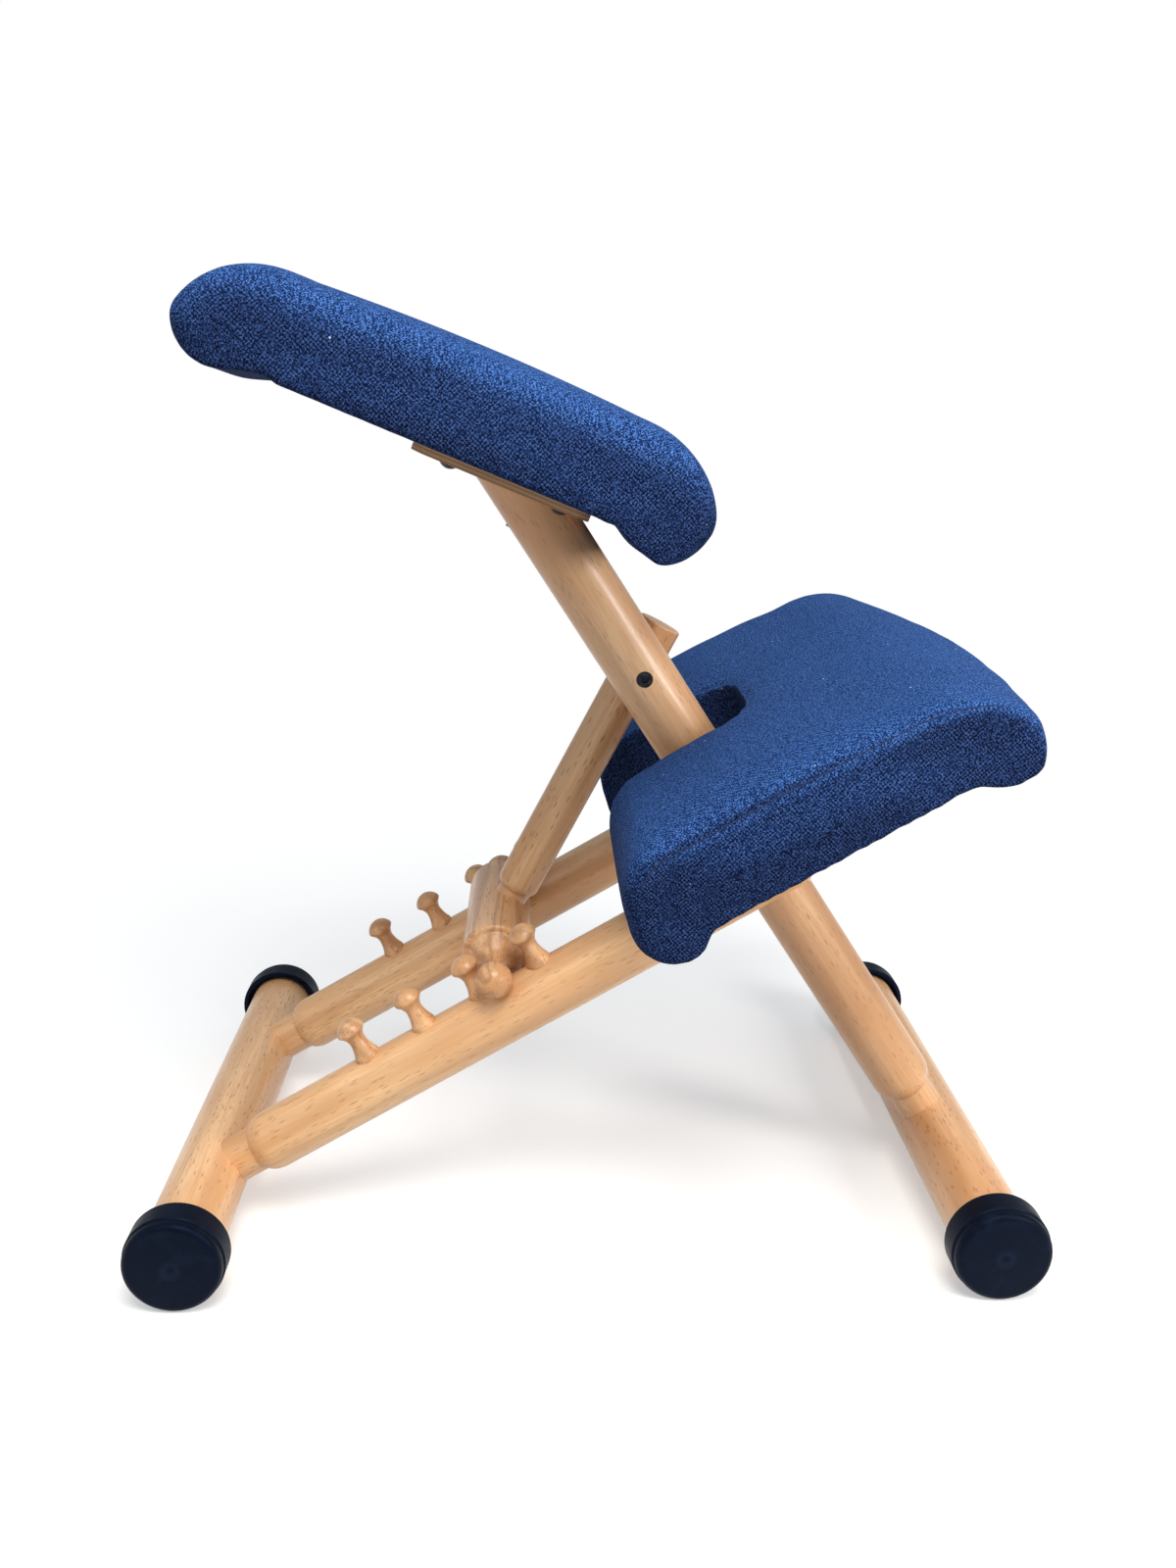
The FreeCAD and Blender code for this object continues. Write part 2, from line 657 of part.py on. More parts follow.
def strut_hardware():
    """Screw from the post's near side, sleeve nut from the strut's far side, washer between."""
    place = Placement(STRUT_FRAME.Base, Rotation())
    head_face = "(-post_offset - post_radius + screw_head_sunk)"
    flange_face = "(strut_radius - flange_sunk)"
    screw = new_body("strut_screw", place)
    revolve(screw, "strut_screw_turning", [
        ("0", head_face),
        ("screw_head_radius", head_face),
        ("screw_head_radius", head_face + " + screw_head_length"),
        ("screw_radius", head_face + " + screw_head_length"),
        ("screw_radius", flange_face + " - flange_length"),
        ("0", flange_face + " - flange_length"),
    ], "XY_Plane")
    socket = new_sketch(screw, "strut_screw_hex", "XZ_Plane", ("0", "0", "-" + head_face))
    corner = "(hex_across / sqrt(3))"
    half = "(hex_across / 2)"
    draw_outline(socket, [
        (corner, "0"), (corner + " / 2", half), ("-" + corner + " / 2", half),
        ("-" + corner, "0"), ("-" + corner + " / 2", "-" + half), (corner + " / 2", "-" + half),
    ])
    cut_away(screw, "strut_screw_socket", socket, "hex_depth")
    nut = new_body("strut_nut", place)
    bore = "(screw_radius + glue_gap)"
    revolve(nut, "strut_nut_turning", [
        (bore, "-strut_radius + strut_spot_depth"),
        ("sleeve_radius", "-strut_radius + strut_spot_depth"),
        ("sleeve_radius", flange_face + " - flange_length"),
        ("flange_radius", flange_face + " - flange_length"),
        ("flange_radius", flange_face),
        ("0", flange_face),
        ("0", flange_face + " - flange_length + glue_gap"),
        (bore, flange_face + " - flange_length + glue_gap"),
    ], "XY_Plane")
    washer = tube("strut_washer", place, "(screw_radius + running_gap)", "washer_radius",
                  "-post_offset + post_radius - post_spot_depth + running_gap",
                  "-strut_radius + strut_spot_depth - running_gap")
    return [screw, nut, washer]


def pivot_hardware():
    """Axle through rails and post, a round nut sunk in each rail, spacer tubes between."""
    place = Placement(PIVOT_FRAME.Base, Rotation())
    rail_outer = "(rail_offset + rail_radius - nut_sunk - nut_length)"
    axle_end = f"({rail_outer} + axle_in_nut)"
    axle = new_body("pivot_axle", place)
    revolve(axle, "pivot_axle_rod", [
        ("0", "-" + axle_end), ("axle_radius", "-" + axle_end), ("axle_radius", axle_end), ("0", axle_end),
    ], "XY_Plane")
    parts = [axle]
    for label, turn in (("pivot_nut_right", HALF_TURN), ("pivot_nut_left", UPRIGHT)):
        nut = new_body(label, place.multiply(turn))
        bore = "(axle_radius + glue_gap)"
        revolve(nut, label + "_turning", [
            (bore, rail_outer),
            ("nut_radius", rail_outer),
            ("nut_radius", rail_outer + " + nut_length"),
            ("0", rail_outer + " + nut_length"),
            ("0", axle_end + " + glue_gap"),
            (bore, axle_end + " + glue_gap"),
        ], "XY_Plane")
        parts.append(nut)
    rail_inner = "(rail_offset - rail_radius + pivot_spot_depth)"
    near = "(-post_offset - post_radius + pivot_spot_depth)"
    far = "(-post_offset + post_radius - pivot_spot_depth)"
    bore = "(axle_radius + running_gap)"
    parts.append(tube("pivot_spacer_short", place, bore, "spacer_radius", f"-{rail_inner}", near + " - running_gap"))
    parts.append(tube("pivot_spacer_long", place, bore, "spacer_radius", far + " + running_gap", rail_inner))
    return parts


def slotted_outline(rear, front, half, corner, slot_gap, slot_corner):
    """A plate open to the rear: rounded outside corners and a blunt slot."""
    near, far = f"(-slot_near - {slot_gap})", f"(slot_far + {slot_gap})"
    end = f"(slot_front + {slot_gap})"
    return [
        (rear, far),
        (rear, f"{half} - {corner}"),
        (f"{rear} + {corner}", half, corner, 1),
        (f"{front} - {corner}", half),
        (front, f"{half} - {corner}", corner, 1),
        (front, f"-{half} + {corner}"),
        (f"{front} - {corner}", f"-{half}", corner, 1),
        (f"{rear} + {corner}", f"-{half}"),
        (rear, f"-{half} + {corner}", corner, 1),
        (rear, near),
        (f"{end} - {slot_corner}", near),
        (end, f"{near} + {slot_corner}", slot_corner, -1),
        (end, f"{far} - {slot_corner}"),
        (f"{end} - {slot_corner}", far, slot_corner, -1),
    ]


KNEE_BOLTS = [("knee_bolt_rear", "knee_bolt_outer"), ("knee_bolt_front", "knee_bolt_outer"),
              ("knee_bolt_front", "knee_bolt_inner")]
SEAT_BOLTS = [("-seat_bolt_rear", "seat_bolt_side"), ("seat_bolt_front", "seat_bolt_side")]


def both_sides(centres):
    return centres + [(x, "-" + y) for x, y in centres]


def knee_board():
    body = new_body("knee_board", shifted(RAIL_FRAME, z="rail_radius"))
    outline = slotted_outline("board_rear", "board_front", "board_half_width", "board_corner",
                              "board_slot_gap", "slot_corner")
    pad(body, "knee_board_ply", outline, "XY_Plane", "0", "board_thickness")
    drill(body, "knee_board_bolt_holes", "XY_Plane", "board_thickness + 1", both_sides(KNEE_BOLTS),
          "bolt_radius + bolt_gap")
    screws = both_sides([("board_screw_rear", "rail_offset"), ("board_screw_front", "rail_offset")])
    sketch = new_sketch(body, "knee_board_screw_circles", "XY_Plane")
    draw_circles(sketch, screws, "board_screw_radius + glue_gap")
    holes = cut_away(body, "knee_board_screw_holes", sketch, "board_screw_bite + glue_gap")
    holes.Reversed = True
    return body


def core(label, frame, outline, bolts):
    """A plywood core with a tee nut let into its top over each bolt."""
    body = new_body(label, frame)
    pad(body, label + "_ply", outline, "XY_Plane", "0", "core_thickness")
    drill(body, label + "_nut_holes", "XY_Plane", "core_thickness + 1", both_sides(bolts),
          "tee_barrel + glue_gap")
    drill(body, label + "_nut_seats", "XY_Plane", "core_thickness + 1", both_sides(bolts),
          "tee_radius + glue_gap", "1 + tee_flange")
    return body


def mirrored_set(label, frame, places, profile):
    """Equal turned fasteners at each place and across the chair's middle plane."""
    body = new_body(label, frame)
    body.AllowCompound = True
    turned = [revolve(body, f"{label}_turning_{index}", profile, "XZ_Plane", "V_Axis", (x, "0", "-" + y))
              for index, (x, y) in enumerate(places)]
    doc.recompute()
    mirror = body.newObject("PartDesign::Mirrored", label + "_mirror")
    mirror.Originals = turned
    mirror.MirrorPlane = (own_plane(body, "XZ_Plane"), [""])
    body.Tip = mirror
    return body


def bolt_profile(seat, end):
    """A domed head under the seat face and a shank up to the end, on the Z axis."""
    dome = "(bolt_head_radius^2 + bolt_head_height^2) / (2 * bolt_head_height)"
    return [
        ("0", f"{seat} - bolt_head_height"),
        ("bolt_head_radius", seat, dome, -1),
        ("bolt_radius", seat),
        ("bolt_radius", end),
        ("0", end),
    ]


def tee_nut_profile(top):
    bore = "(bolt_radius + glue_gap)"
    return [
        (bore, f"{top} - core_thickness + glue_gap"),
        ("tee_barrel", f"{top} - core_thickness + glue_gap"),
        ("tee_barrel", f"{top} - tee_flange"),
        ("tee_radius", f"{top} - tee_flange"),
        ("tee_radius", f"{top} - glue_gap"),
        (bore, f"{top} - glue_gap"),
    ]


def board_screws():
    low = "(-rail_radius + board_screw_sunk)"
    end = "(rail_radius + board_screw_bite)"
    return mirrored_set(
        "board_screws", RAIL_FRAME,
        [("board_screw_rear", "rail_offset"), ("board_screw_front", "rail_offset")],
        [
            ("0", low),
            ("board_screw_head_radius", low),
            ("board_screw_head_radius", low + " + bolt_head_height"),
            ("board_screw_radius", low + " + bolt_head_height"),
            ("board_screw_radius", end),
            ("0", end),
        ])


def post_screw_profile(top):
    """A countersunk screw down from the plate's top, on the Z axis."""
    sink = "(post_screw_head - post_screw_radius)"
    return [
        ("0", f"{top} - post_screw_length"),
        ("post_screw_radius", f"{top} - post_screw_length"),
        ("post_screw_radius", f"{top} - {sink}"),
        ("post_screw_head", top),
        ("0", top),
    ]


def seat_plate():
    body = new_body("seat_plate", SEAT_FRAME)
    rear, front, half = "-plate_rear", "plate_front", "plate_half_width"
    outline = [
        (rear, f"{half} - plate_corner"),
        (f"{rear} + plate_corner", half, "plate_corner", 1),
        (f"{front} - plate_corner", half),
        (front, f"{half} - plate_corner", "plate_corner", 1),
        (front, f"-{half} + plate_corner"),
        (f"{front} - plate_corner", f"-{half}", "plate_corner", 1),
        (f"{rear} + plate_corner", f"-{half}"),
        (rear, f"-{half} + plate_corner", "plate_corner", 1),
    ]
    pad(body, "seat_plate_ply", outline, "XY_Plane", "0", "plate_thickness")
    drill(body, "seat_plate_bolt_holes", "XY_Plane", "plate_thickness + 1", both_sides(SEAT_BOLTS),
          "bolt_radius + bolt_gap")
    for place, name in POST_SCREWS:
        groove(body, "seat_plate_countersink_" + name, post_screw_profile("plate_thickness"),
               (place, "0", "post_offset"))
    return body


def post_screws():
    body = new_body("post_screws", SEAT_FRAME)
    body.AllowCompound = True
    for place, name in POST_SCREWS:
        revolve(body, "post_screw_" + name, post_screw_profile("plate_thickness"),
                "XZ_Plane", "V_Axis", (place, "0", "post_offset"))
    return body


def inset(depth, radius):
    """How far a rounded edge of this radius stands back at this depth from its side."""
    if depth >= radius:
        return 0.0
    return radius - math.sqrt(radius**2 - (radius - depth) ** 2)


def section_wire(corners, warp):
    """One cross section of a cushion through its corners; a corner of four is an arc's two points."""
    edges = []
    start = warp(*corners[-1][-2:])
    for corner in corners:
        end = warp(*corner[-2:])
        if len(corner) == 2:
            edges.append(Part.LineSegment(start, end).toShape())
        else:
            edges.append(Part.Arc(start, warp(*corner[:2]), end).toShape())
        start = end
    return Part.Wire(edges)


def stretched(value, start, end, moved):
    """A value between start and end, carried along as the end moves."""
    return start + (value - start) * (moved - start) / (end - start)


def section_warp(y, flat, ends, levels, moved_ends, moved_levels):
    """Draws the ends and the top in towards a cushion's sides while its flat bottom stays."""
    rear, front = ends
    base, top = levels
    lift, moved_top = moved_levels

    def warp(along, height):
        if along < flat[0]:
            along = stretched(along, flat[0], rear, moved_ends[0])
        elif along > flat[1]:
            along = stretched(along, flat[1], front, moved_ends[1])
        if height > base:
            height = stretched(height, base, top, moved_top - lift)
        return Vector(along, y, height + lift)

    return warp


def stations(half_width, rounding):
    """Places across the cushion, close together where its side rounds."""
    outside = [half_width - rounding * (1 - math.cos(math.radians(turn))) for turn in (0, 25, 50, 75)]
    inside = [half_width * share for share in (0.82, 0.64, 0.36)]
    positive = outside + [place for place in inside if place < outside[-1] - 1]
    return [-place for place in positive] + [0.0] + positive[::-1]


def loft_cushion(half_width, rounding, section):
    wires = [section(y) for y in stations(half_width, rounding)]
    return Part.makeLoft(wires, True, False)


def knee_form():
    """The knee pad's outside, in the rail frame with Z from the rail's axis."""
    size = SIZE
    base = size["rail_radius"] + size["board_thickness"] + size["soft_gap"]
    top = base + size["knee_thickness"]
    low = base - size["knee_droop"]
    rear, front = size["knee_rear"], size["knee_front"]
    flat_rear, flat_front = size["knee_flat_rear"], size["knee_flat_front"]
    corners = [
        (flat_rear, base),
        (flat_rear - size["knee_rear_hollow_back"], base - size["knee_rear_hollow_drop"]),
        (flat_rear - size["knee_rear_roll_back"], low, rear, base + size["knee_rear_face_height"]),
        (rear + size["knee_rear_crest_in"], base + size["knee_rear_crest_height"],
         rear + size["knee_rear_top_in"], top),
        (rear + size["knee_top_middle"], top, rear + size["knee_slope_start"], top - size["knee_slope_drop"]),
        (front - size["knee_brow_in"], base + size["knee_brow_height"],
         front - size["knee_nose_in"], base + size["knee_nose_height"]),
        (front - size["knee_chin_in"], base - size["knee_chin_drop"],
         flat_front + size["knee_front_roll_out"], low),
        (flat_front + size["knee_front_hollow_out"], base - size["knee_front_hollow_drop"]),
        (flat_front, base),
    ]
    half = size["knee_half_width"]

    def section(y):
        out = abs(y) / half
        depth = half - abs(y)
        corner = inset(depth, size["knee_corner"])
        moved_front = front - corner / 2 - size["knee_front_bow"] * out**2
        lift = inset(depth, size["knee_bottom_round"])
        return section_wire(corners, section_warp(
            y, (flat_rear, flat_front), (rear, front), (base, top),
            (rear + corner, moved_front), (lift, top - size["knee_crown"] * out**4)))

    return loft_cushion(half, size["knee_corner"], section)


def seat_form():
    """The seat's outside, in the seat frame."""
    size = SIZE
    base = size["plate_thickness"] + size["soft_gap"]
    top = base + size["seat_thickness"]
    low = base - size["seat_front_droop"]
    rear, front = -size["seat_rear"], size["seat_front"]
    flat_rear, flat_front = -size["seat_flat_rear"], size["seat_flat_front"]
    rear_low = base - size["seat_rear_droop"]
    corners = [
        (flat_rear, base),
        (flat_rear - size["seat_rear_hollow_back"], base - size["seat_rear_hollow_drop"]),
        (rear + size["seat_rear_roll_in"], rear_low + size["seat_rear_roll_rise"],
         rear, base + size["seat_rear_face_height"]),
        (rear + size["seat_rear_crest_in"], top - size["seat_rear_crest_drop"],
         rear + size["seat_rear_top_in"], top - size["seat_rear_top_drop"]),
        (size["seat_top_middle"], top, size["seat_brow_start"], top - size["seat_brow_drop"]),
        (front - size["seat_nose_in"], top - size["seat_nose_drop"], front, base + size["seat_nose_height"]),
        (front - size["seat_chin_in"], base + size["seat_chin_height"],
         front - size["seat_front_roll_in"], low),
        (flat_front + size["seat_front_hollow_out"], base - size["seat_front_hollow_drop"]),
        (flat_front, base),
    ]
    half = size["seat_half_width"]

    def section(y):
        out = abs(y) / half
        depth = half - abs(y)
        corner = inset(depth, size["seat_corner"])
        bow = size["seat_end_bow"] * out**2
        drop = inset(depth, size["seat_top_round"]) + size["seat_crown"] * out**2
        return section_wire(corners, section_warp(
            y, (flat_rear, flat_front), (rear, front), (base, top),
            (rear + corner + bow / 2, front - corner - bow),
            (inset(depth, size["seat_bottom_round"]), top - drop)))

    return loft_cushion(half, size["seat_corner"], section)


def slot_cutter():
    """The slot's prism through the knee pad."""
    size = SIZE
    near, far, end = -size["slot_near"], size["slot_far"], size["slot_front"]
    corner = size["slot_corner"]
    back = size["knee_rear"] - size["knee_corner"]
    low = size["rail_radius"]
    turn = corner * (1 - math.sqrt(0.5))
    edges = [
        Part.LineSegment(Vector(back, far, low), Vector(back, near, low)),
        Part.LineSegment(Vector(back, near, low), Vector(end - corner, near, low)),
        Part.Arc(Vector(end - corner, near, low), Vector(end - turn, near + turn, low),
                 Vector(end, near + corner, low)),
        Part.LineSegment(Vector(end, near + corner, low), Vector(end, far - corner, low)),
        Part.Arc(Vector(end, far - corner, low), Vector(end - turn, far - turn, low),
                 Vector(end - corner, far, low)),
        Part.LineSegment(Vector(end - corner, far, low), Vector(back, far, low)),
    ]
    face = Part.Face(Part.Wire([edge.toShape() for edge in edges]))
    return face.extrude(Vector(0, 0, 2 * size["knee_thickness"]))


def passages(centres, low, high):
    """Round ways for the bolts through a cushion's bottom skin."""
    radius = number("bolt_radius + bolt_gap")
    return [Part.makeCylinder(radius, high - low, Vector(number(x), number(y), low))
            for x, y in both_sides(centres)]


def cushion(label, frame, form, cuts):
    for cut in cuts:
        form = form.cut(cut)
    feature = doc.addObject("Part::Feature", label)
    feature.Label = label
    feature.Shape = form.Solids[0] if len(form.Solids) == 1 else form
    feature.Placement = frame
    return feature


def core_hollow(body, frame):
    """A core's plain ply, before its holes, as it lies in the cushion's frame."""
    shape = doc.getObject(body.Label + "_ply").Shape.copy()
    shape.Placement = frame.inverse().multiply(body.Placement)
    return shape


parts = [
    crossbar("rear_crossbar", RAIL_FRAME, "YZ_Plane", [("rail_offset", "0"), ("-rail_offset", "0")]),
    crossbar("front_crossbar", POST_FRAME, "XY_Plane", [("0", "-post_offset")]),
]
for end, x in (("rear", -HALF_SPACING), ("front", HALF_SPACING)):
    for hand, turn in (("left", UPRIGHT), ("right", HALF_TURN)):
        parts.append(crossbar_cap(f"crossbar_cap_{end}_{hand}", x, turn))
for hand, side in (("left", 1), ("right", -1)):
    parts.append(rail("rail_" + hand, side))
    parts += [peg(f"peg_{hand}_{index + 1}", side, index) for index in range(4)]
parts += [post(), strut(), notch_barrel()]
parts += [notch_end("notch_end_left", UPRIGHT), notch_end("notch_end_right", HALF_TURN)]
parts += strut_hardware()
parts += pivot_hardware()

knee_core_frame = shifted(RAIL_FRAME, z="rail_radius + board_thickness + soft_gap + core_skin")
knee_core_outline = slotted_outline(
    "knee_core_rear", "knee_core_front", "knee_core_half_width", "knee_core_corner",
    "core_slot_wall", "slot_corner")
knee_top = "(rail_radius + board_thickness + soft_gap + core_skin + core_thickness)"
parts += [knee_board(), board_screws()]
knee_core = core("knee_core", knee_core_frame, knee_core_outline, KNEE_BOLTS)
parts.append(knee_core)
parts.append(mirrored_set("knee_tee_nuts", RAIL_FRAME, KNEE_BOLTS, tee_nut_profile(knee_top)))
parts.append(mirrored_set("knee_bolts", RAIL_FRAME, KNEE_BOLTS,
                          bolt_profile("rail_radius", knee_top + " - tee_flange")))

seat_core_frame = shifted(SEAT_FRAME, z="plate_thickness + soft_gap + core_skin")
seat_core_outline = [
    ("-seat_core_rear", "seat_core_half_width - seat_core_corner"),
    ("-seat_core_rear + seat_core_corner", "seat_core_half_width", "seat_core_corner", 1),
    ("seat_core_front - seat_core_corner", "seat_core_half_width"),
    ("seat_core_front", "seat_core_half_width - seat_core_corner", "seat_core_corner", 1),
    ("seat_core_front", "-seat_core_half_width + seat_core_corner"),
    ("seat_core_front - seat_core_corner", "-seat_core_half_width", "seat_core_corner", 1),
    ("-seat_core_rear + seat_core_corner", "-seat_core_half_width"),
    ("-seat_core_rear", "-seat_core_half_width + seat_core_corner", "seat_core_corner", 1),
]
seat_top = "(plate_thickness + soft_gap + core_skin + core_thickness)"
parts += [seat_plate(), post_screws()]
seat_core = core("seat_core", seat_core_frame, seat_core_outline, SEAT_BOLTS)
parts.append(seat_core)
parts.append(mirrored_set("seat_tee_nuts", SEAT_FRAME, SEAT_BOLTS, tee_nut_profile(seat_top)))
parts.append(mirrored_set("seat_bolts", SEAT_FRAME, SEAT_BOLTS,
                          bolt_profile("0", seat_top + " - tee_flange")))
doc.recompute()

knee_skin = number("rail_radius + board_thickness")
parts.append(cushion("knee_cushion", RAIL_FRAME, knee_form(), [
    slot_cutter(), core_hollow(knee_core, RAIL_FRAME),
    *passages(KNEE_BOLTS, knee_skin, number(knee_top) - SIZE["core_thickness"])]))
parts.append(cushion("seat_cushion", SEAT_FRAME, seat_form(), [
    core_hollow(seat_core, SEAT_FRAME),
    *passages(SEAT_BOLTS, SIZE["plate_thickness"], number(seat_top) - SIZE["core_thickness"])]))
doc.recompute()

for item in doc.Objects:
    if "Invalid" in item.State or "Error" in item.State:
        raise RuntimeError(f"{item.Label} failed: {item.State}")
for part in parts:
    if part.Shape.isNull() or not part.Shape.isValid():
        raise RuntimeError(f"{part.Label} has no valid shape")
os.makedirs("parts", exist_ok=True)
for part in parts:
    part.Shape.exportStep(f"parts/{part.Label}.step")
    box = part.Shape.BoundBox
    print(f"{part.Label}: {len(part.Shape.Solids)} solid, {part.Shape.Volume / 1000:.1f} cm3,",
          f"x {box.XMin:.1f} {box.XMax:.1f}, y {box.YMin:.1f} {box.YMax:.1f}, z {box.ZMin:.1f} {box.ZMax:.1f}")
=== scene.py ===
import math

import bmesh
import bpy
import numpy
from mathutils import Matrix, Vector
from mathutils.bvhtree import BVHTree
from mathutils.kdtree import KDTree


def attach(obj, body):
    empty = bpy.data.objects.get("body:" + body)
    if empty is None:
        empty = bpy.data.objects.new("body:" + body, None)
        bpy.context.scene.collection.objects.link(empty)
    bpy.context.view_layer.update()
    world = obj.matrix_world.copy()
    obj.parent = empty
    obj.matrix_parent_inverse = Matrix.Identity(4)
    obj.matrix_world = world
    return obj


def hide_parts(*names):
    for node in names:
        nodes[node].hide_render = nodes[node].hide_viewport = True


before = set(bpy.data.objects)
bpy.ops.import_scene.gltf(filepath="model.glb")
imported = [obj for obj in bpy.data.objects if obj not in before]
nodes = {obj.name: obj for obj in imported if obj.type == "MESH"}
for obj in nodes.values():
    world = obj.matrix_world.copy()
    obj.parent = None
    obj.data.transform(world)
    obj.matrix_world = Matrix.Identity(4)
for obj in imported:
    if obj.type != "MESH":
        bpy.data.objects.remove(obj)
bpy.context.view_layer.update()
mm = 0.001
print("frame loaded:", len(nodes), "solids")


# the chair's own directions: up the rails, up the post, down the seat
def tilted(x, z, degrees):
    return Matrix.Translation((x, 0, z)) @ Matrix.Rotation(math.radians(degrees), 4, "Y")


slopes = {"halfSpacing": 0.259, "axisHeight": 0.0317, "rail": 30.4712, "post": 56.7051, "seat": 21.8,
          "strut": 62.28, "postTop": 0.548}
railFrame = tilted(-slopes["halfSpacing"], slopes["axisHeight"], -slopes["rail"])
postFrame = tilted(slopes["halfSpacing"], slopes["axisHeight"], slopes["post"] - 90)
seatPoint = postFrame @ Vector((0, 0, slopes["postTop"]))
seatFrame = tilted(seatPoint.x, seatPoint.z, slopes["seat"])

# the photo's camera, fitted to the bars, caps and pegs; degrees and millimetres of film
view = {"place": (-0.03536, -0.93547, 0.54781), "yaw": 2.2725, "pitch": 15.7102, "roll": 0.6176,
        "lens": 31.407, "filmSide": 36.0, "clip": (0.02, 60)}


def makeCamera():
    yaw, pitch, roll = (math.radians(view[key]) for key in ("yaw", "pitch", "roll"))
    ahead = Vector((math.sin(yaw) * math.cos(pitch), math.cos(yaw) * math.cos(pitch), -math.sin(pitch)))
    right = ahead.cross(Vector((0, 0, 1))).normalized()
    up = right.cross(ahead)
    rightRolled = right * math.cos(roll) + up * math.sin(roll)
    upRolled = up * math.cos(roll) - right * math.sin(roll)
    camera = bpy.data.objects.new("camera", bpy.data.cameras.new("camera"))
    turn = Matrix((rightRolled, upRolled, -ahead)).transposed().to_4x4()
    camera.matrix_world = Matrix.Translation(view["place"]) @ turn
    camera.data.sensor_fit = "VERTICAL"
    camera.data.sensor_width = camera.data.sensor_height = view["filmSide"]
    camera.data.lens = view["lens"]
    camera.data.clip_start, camera.data.clip_end = view["clip"]
    bpy.context.scene.collection.objects.link(camera)
    bpy.context.scene.camera = camera


makeCamera()
print("camera placed")


# small tools for node materials
class Nodes:
    def __init__(self, name):
        self.material = bpy.data.materials.new(name)
        self.material.use_nodes = True
        self.tree = self.material.node_tree
        self.shader = self.tree.nodes["Principled BSDF"]

    def add(self, kind, inputs=(), **settings):
        node = self.tree.nodes.new("ShaderNode" + kind)
        for key, value in settings.items():
            setattr(node, key, value)
        for key, value in dict(inputs).items():
            self.feed(node, key, value)
        return node

    def feed(self, node, key, value):
        if isinstance(value, bpy.types.NodeSocket):
            self.tree.links.new(value, node.inputs[key])
        else:
            node.inputs[key].default_value = value

    def math(self, operation, a, b=0.0, clamp=False):
        node = self.add("Math", {0: a, 1: b}, operation=operation)
        node.use_clamp = clamp
        return node.outputs[0]

    def span(self, value, low, high, toLow=0.0, toHigh=1.0):
        return self.add("MapRange", {"Value": value, "From Min": low, "From Max": high,
                                     "To Min": toLow, "To Max": toHigh}).outputs[0]

    def ramp(self, value, stops):
        node = self.add("ValToRGB", {"Fac": value})
        items = node.color_ramp.elements
        while len(items) < len(stops):
            items.new(0.5)
        for item, (place, colour) in zip(items, stops):
            item.position, item.color = place, (*colour, 1)
        return node.outputs["Color"]

    def mix(self, factor, a, b, blend="MIX"):
        node = self.add("Mix", data_type="RGBA", blend_type=blend)
        self.feed(node, 0, factor)
        self.feed(node, 6, a if isinstance(a, bpy.types.NodeSocket) else (*a, 1))
        self.feed(node, 7, b if isinstance(b, bpy.types.NodeSocket) else (*b, 1))
        return node.outputs[2]

    def bump(self, height, strength, distance):
        node = self.add("Bump", {"Height": height, "Strength": strength, "Distance": distance})
        self.feed(self.shader, "Normal", node.outputs[0])

    def along(self, turn, stretch, shift=(0, 0, 0)):
        # object coordinates, turned so that x runs with the grain, then stretched
        place = self.add("TexCoord").outputs["Object"]
        turned = self.add("Mapping", {"Vector": place, "Rotation": turn, "Location": shift})
        return self.add("Mapping", {"Vector": turned.outputs[0], "Scale": stretch}).outputs[0]


def colour(red, green, blue):
    # a colour as a picture shows it, 0 to 255, to scene-linear
    return tuple(c / 12.92 if c <= 0.04045 else ((c + 0.055) / 1.055) ** 2.4
                 for c in (red / 255, green / 255, blue / 255))


def dress(names, material):
    for name in names:
        node = nodes[name]
        node.data.materials.clear()
        node.data.materials.append(material)


# clear-lacquered beech: streaky fibres, short brown flecks, faint year rings; lengths in metres
beech = {
    "light": colour(244, 203, 156), "deep": colour(214, 158, 108), "fleck": colour(142, 88, 52),
    "fleckLength": 0.0052, "fleckWidth": 0.0007, "streakWidth": 0.0011, "fibreWidth": 0.00035,
    "streakAmount": 0.62, "fibreAmount": 0.3, "fleckAmount": 0.52,
    "roughness": 0.34, "coat": 0.22, "coatRoughness": 0.24,
}


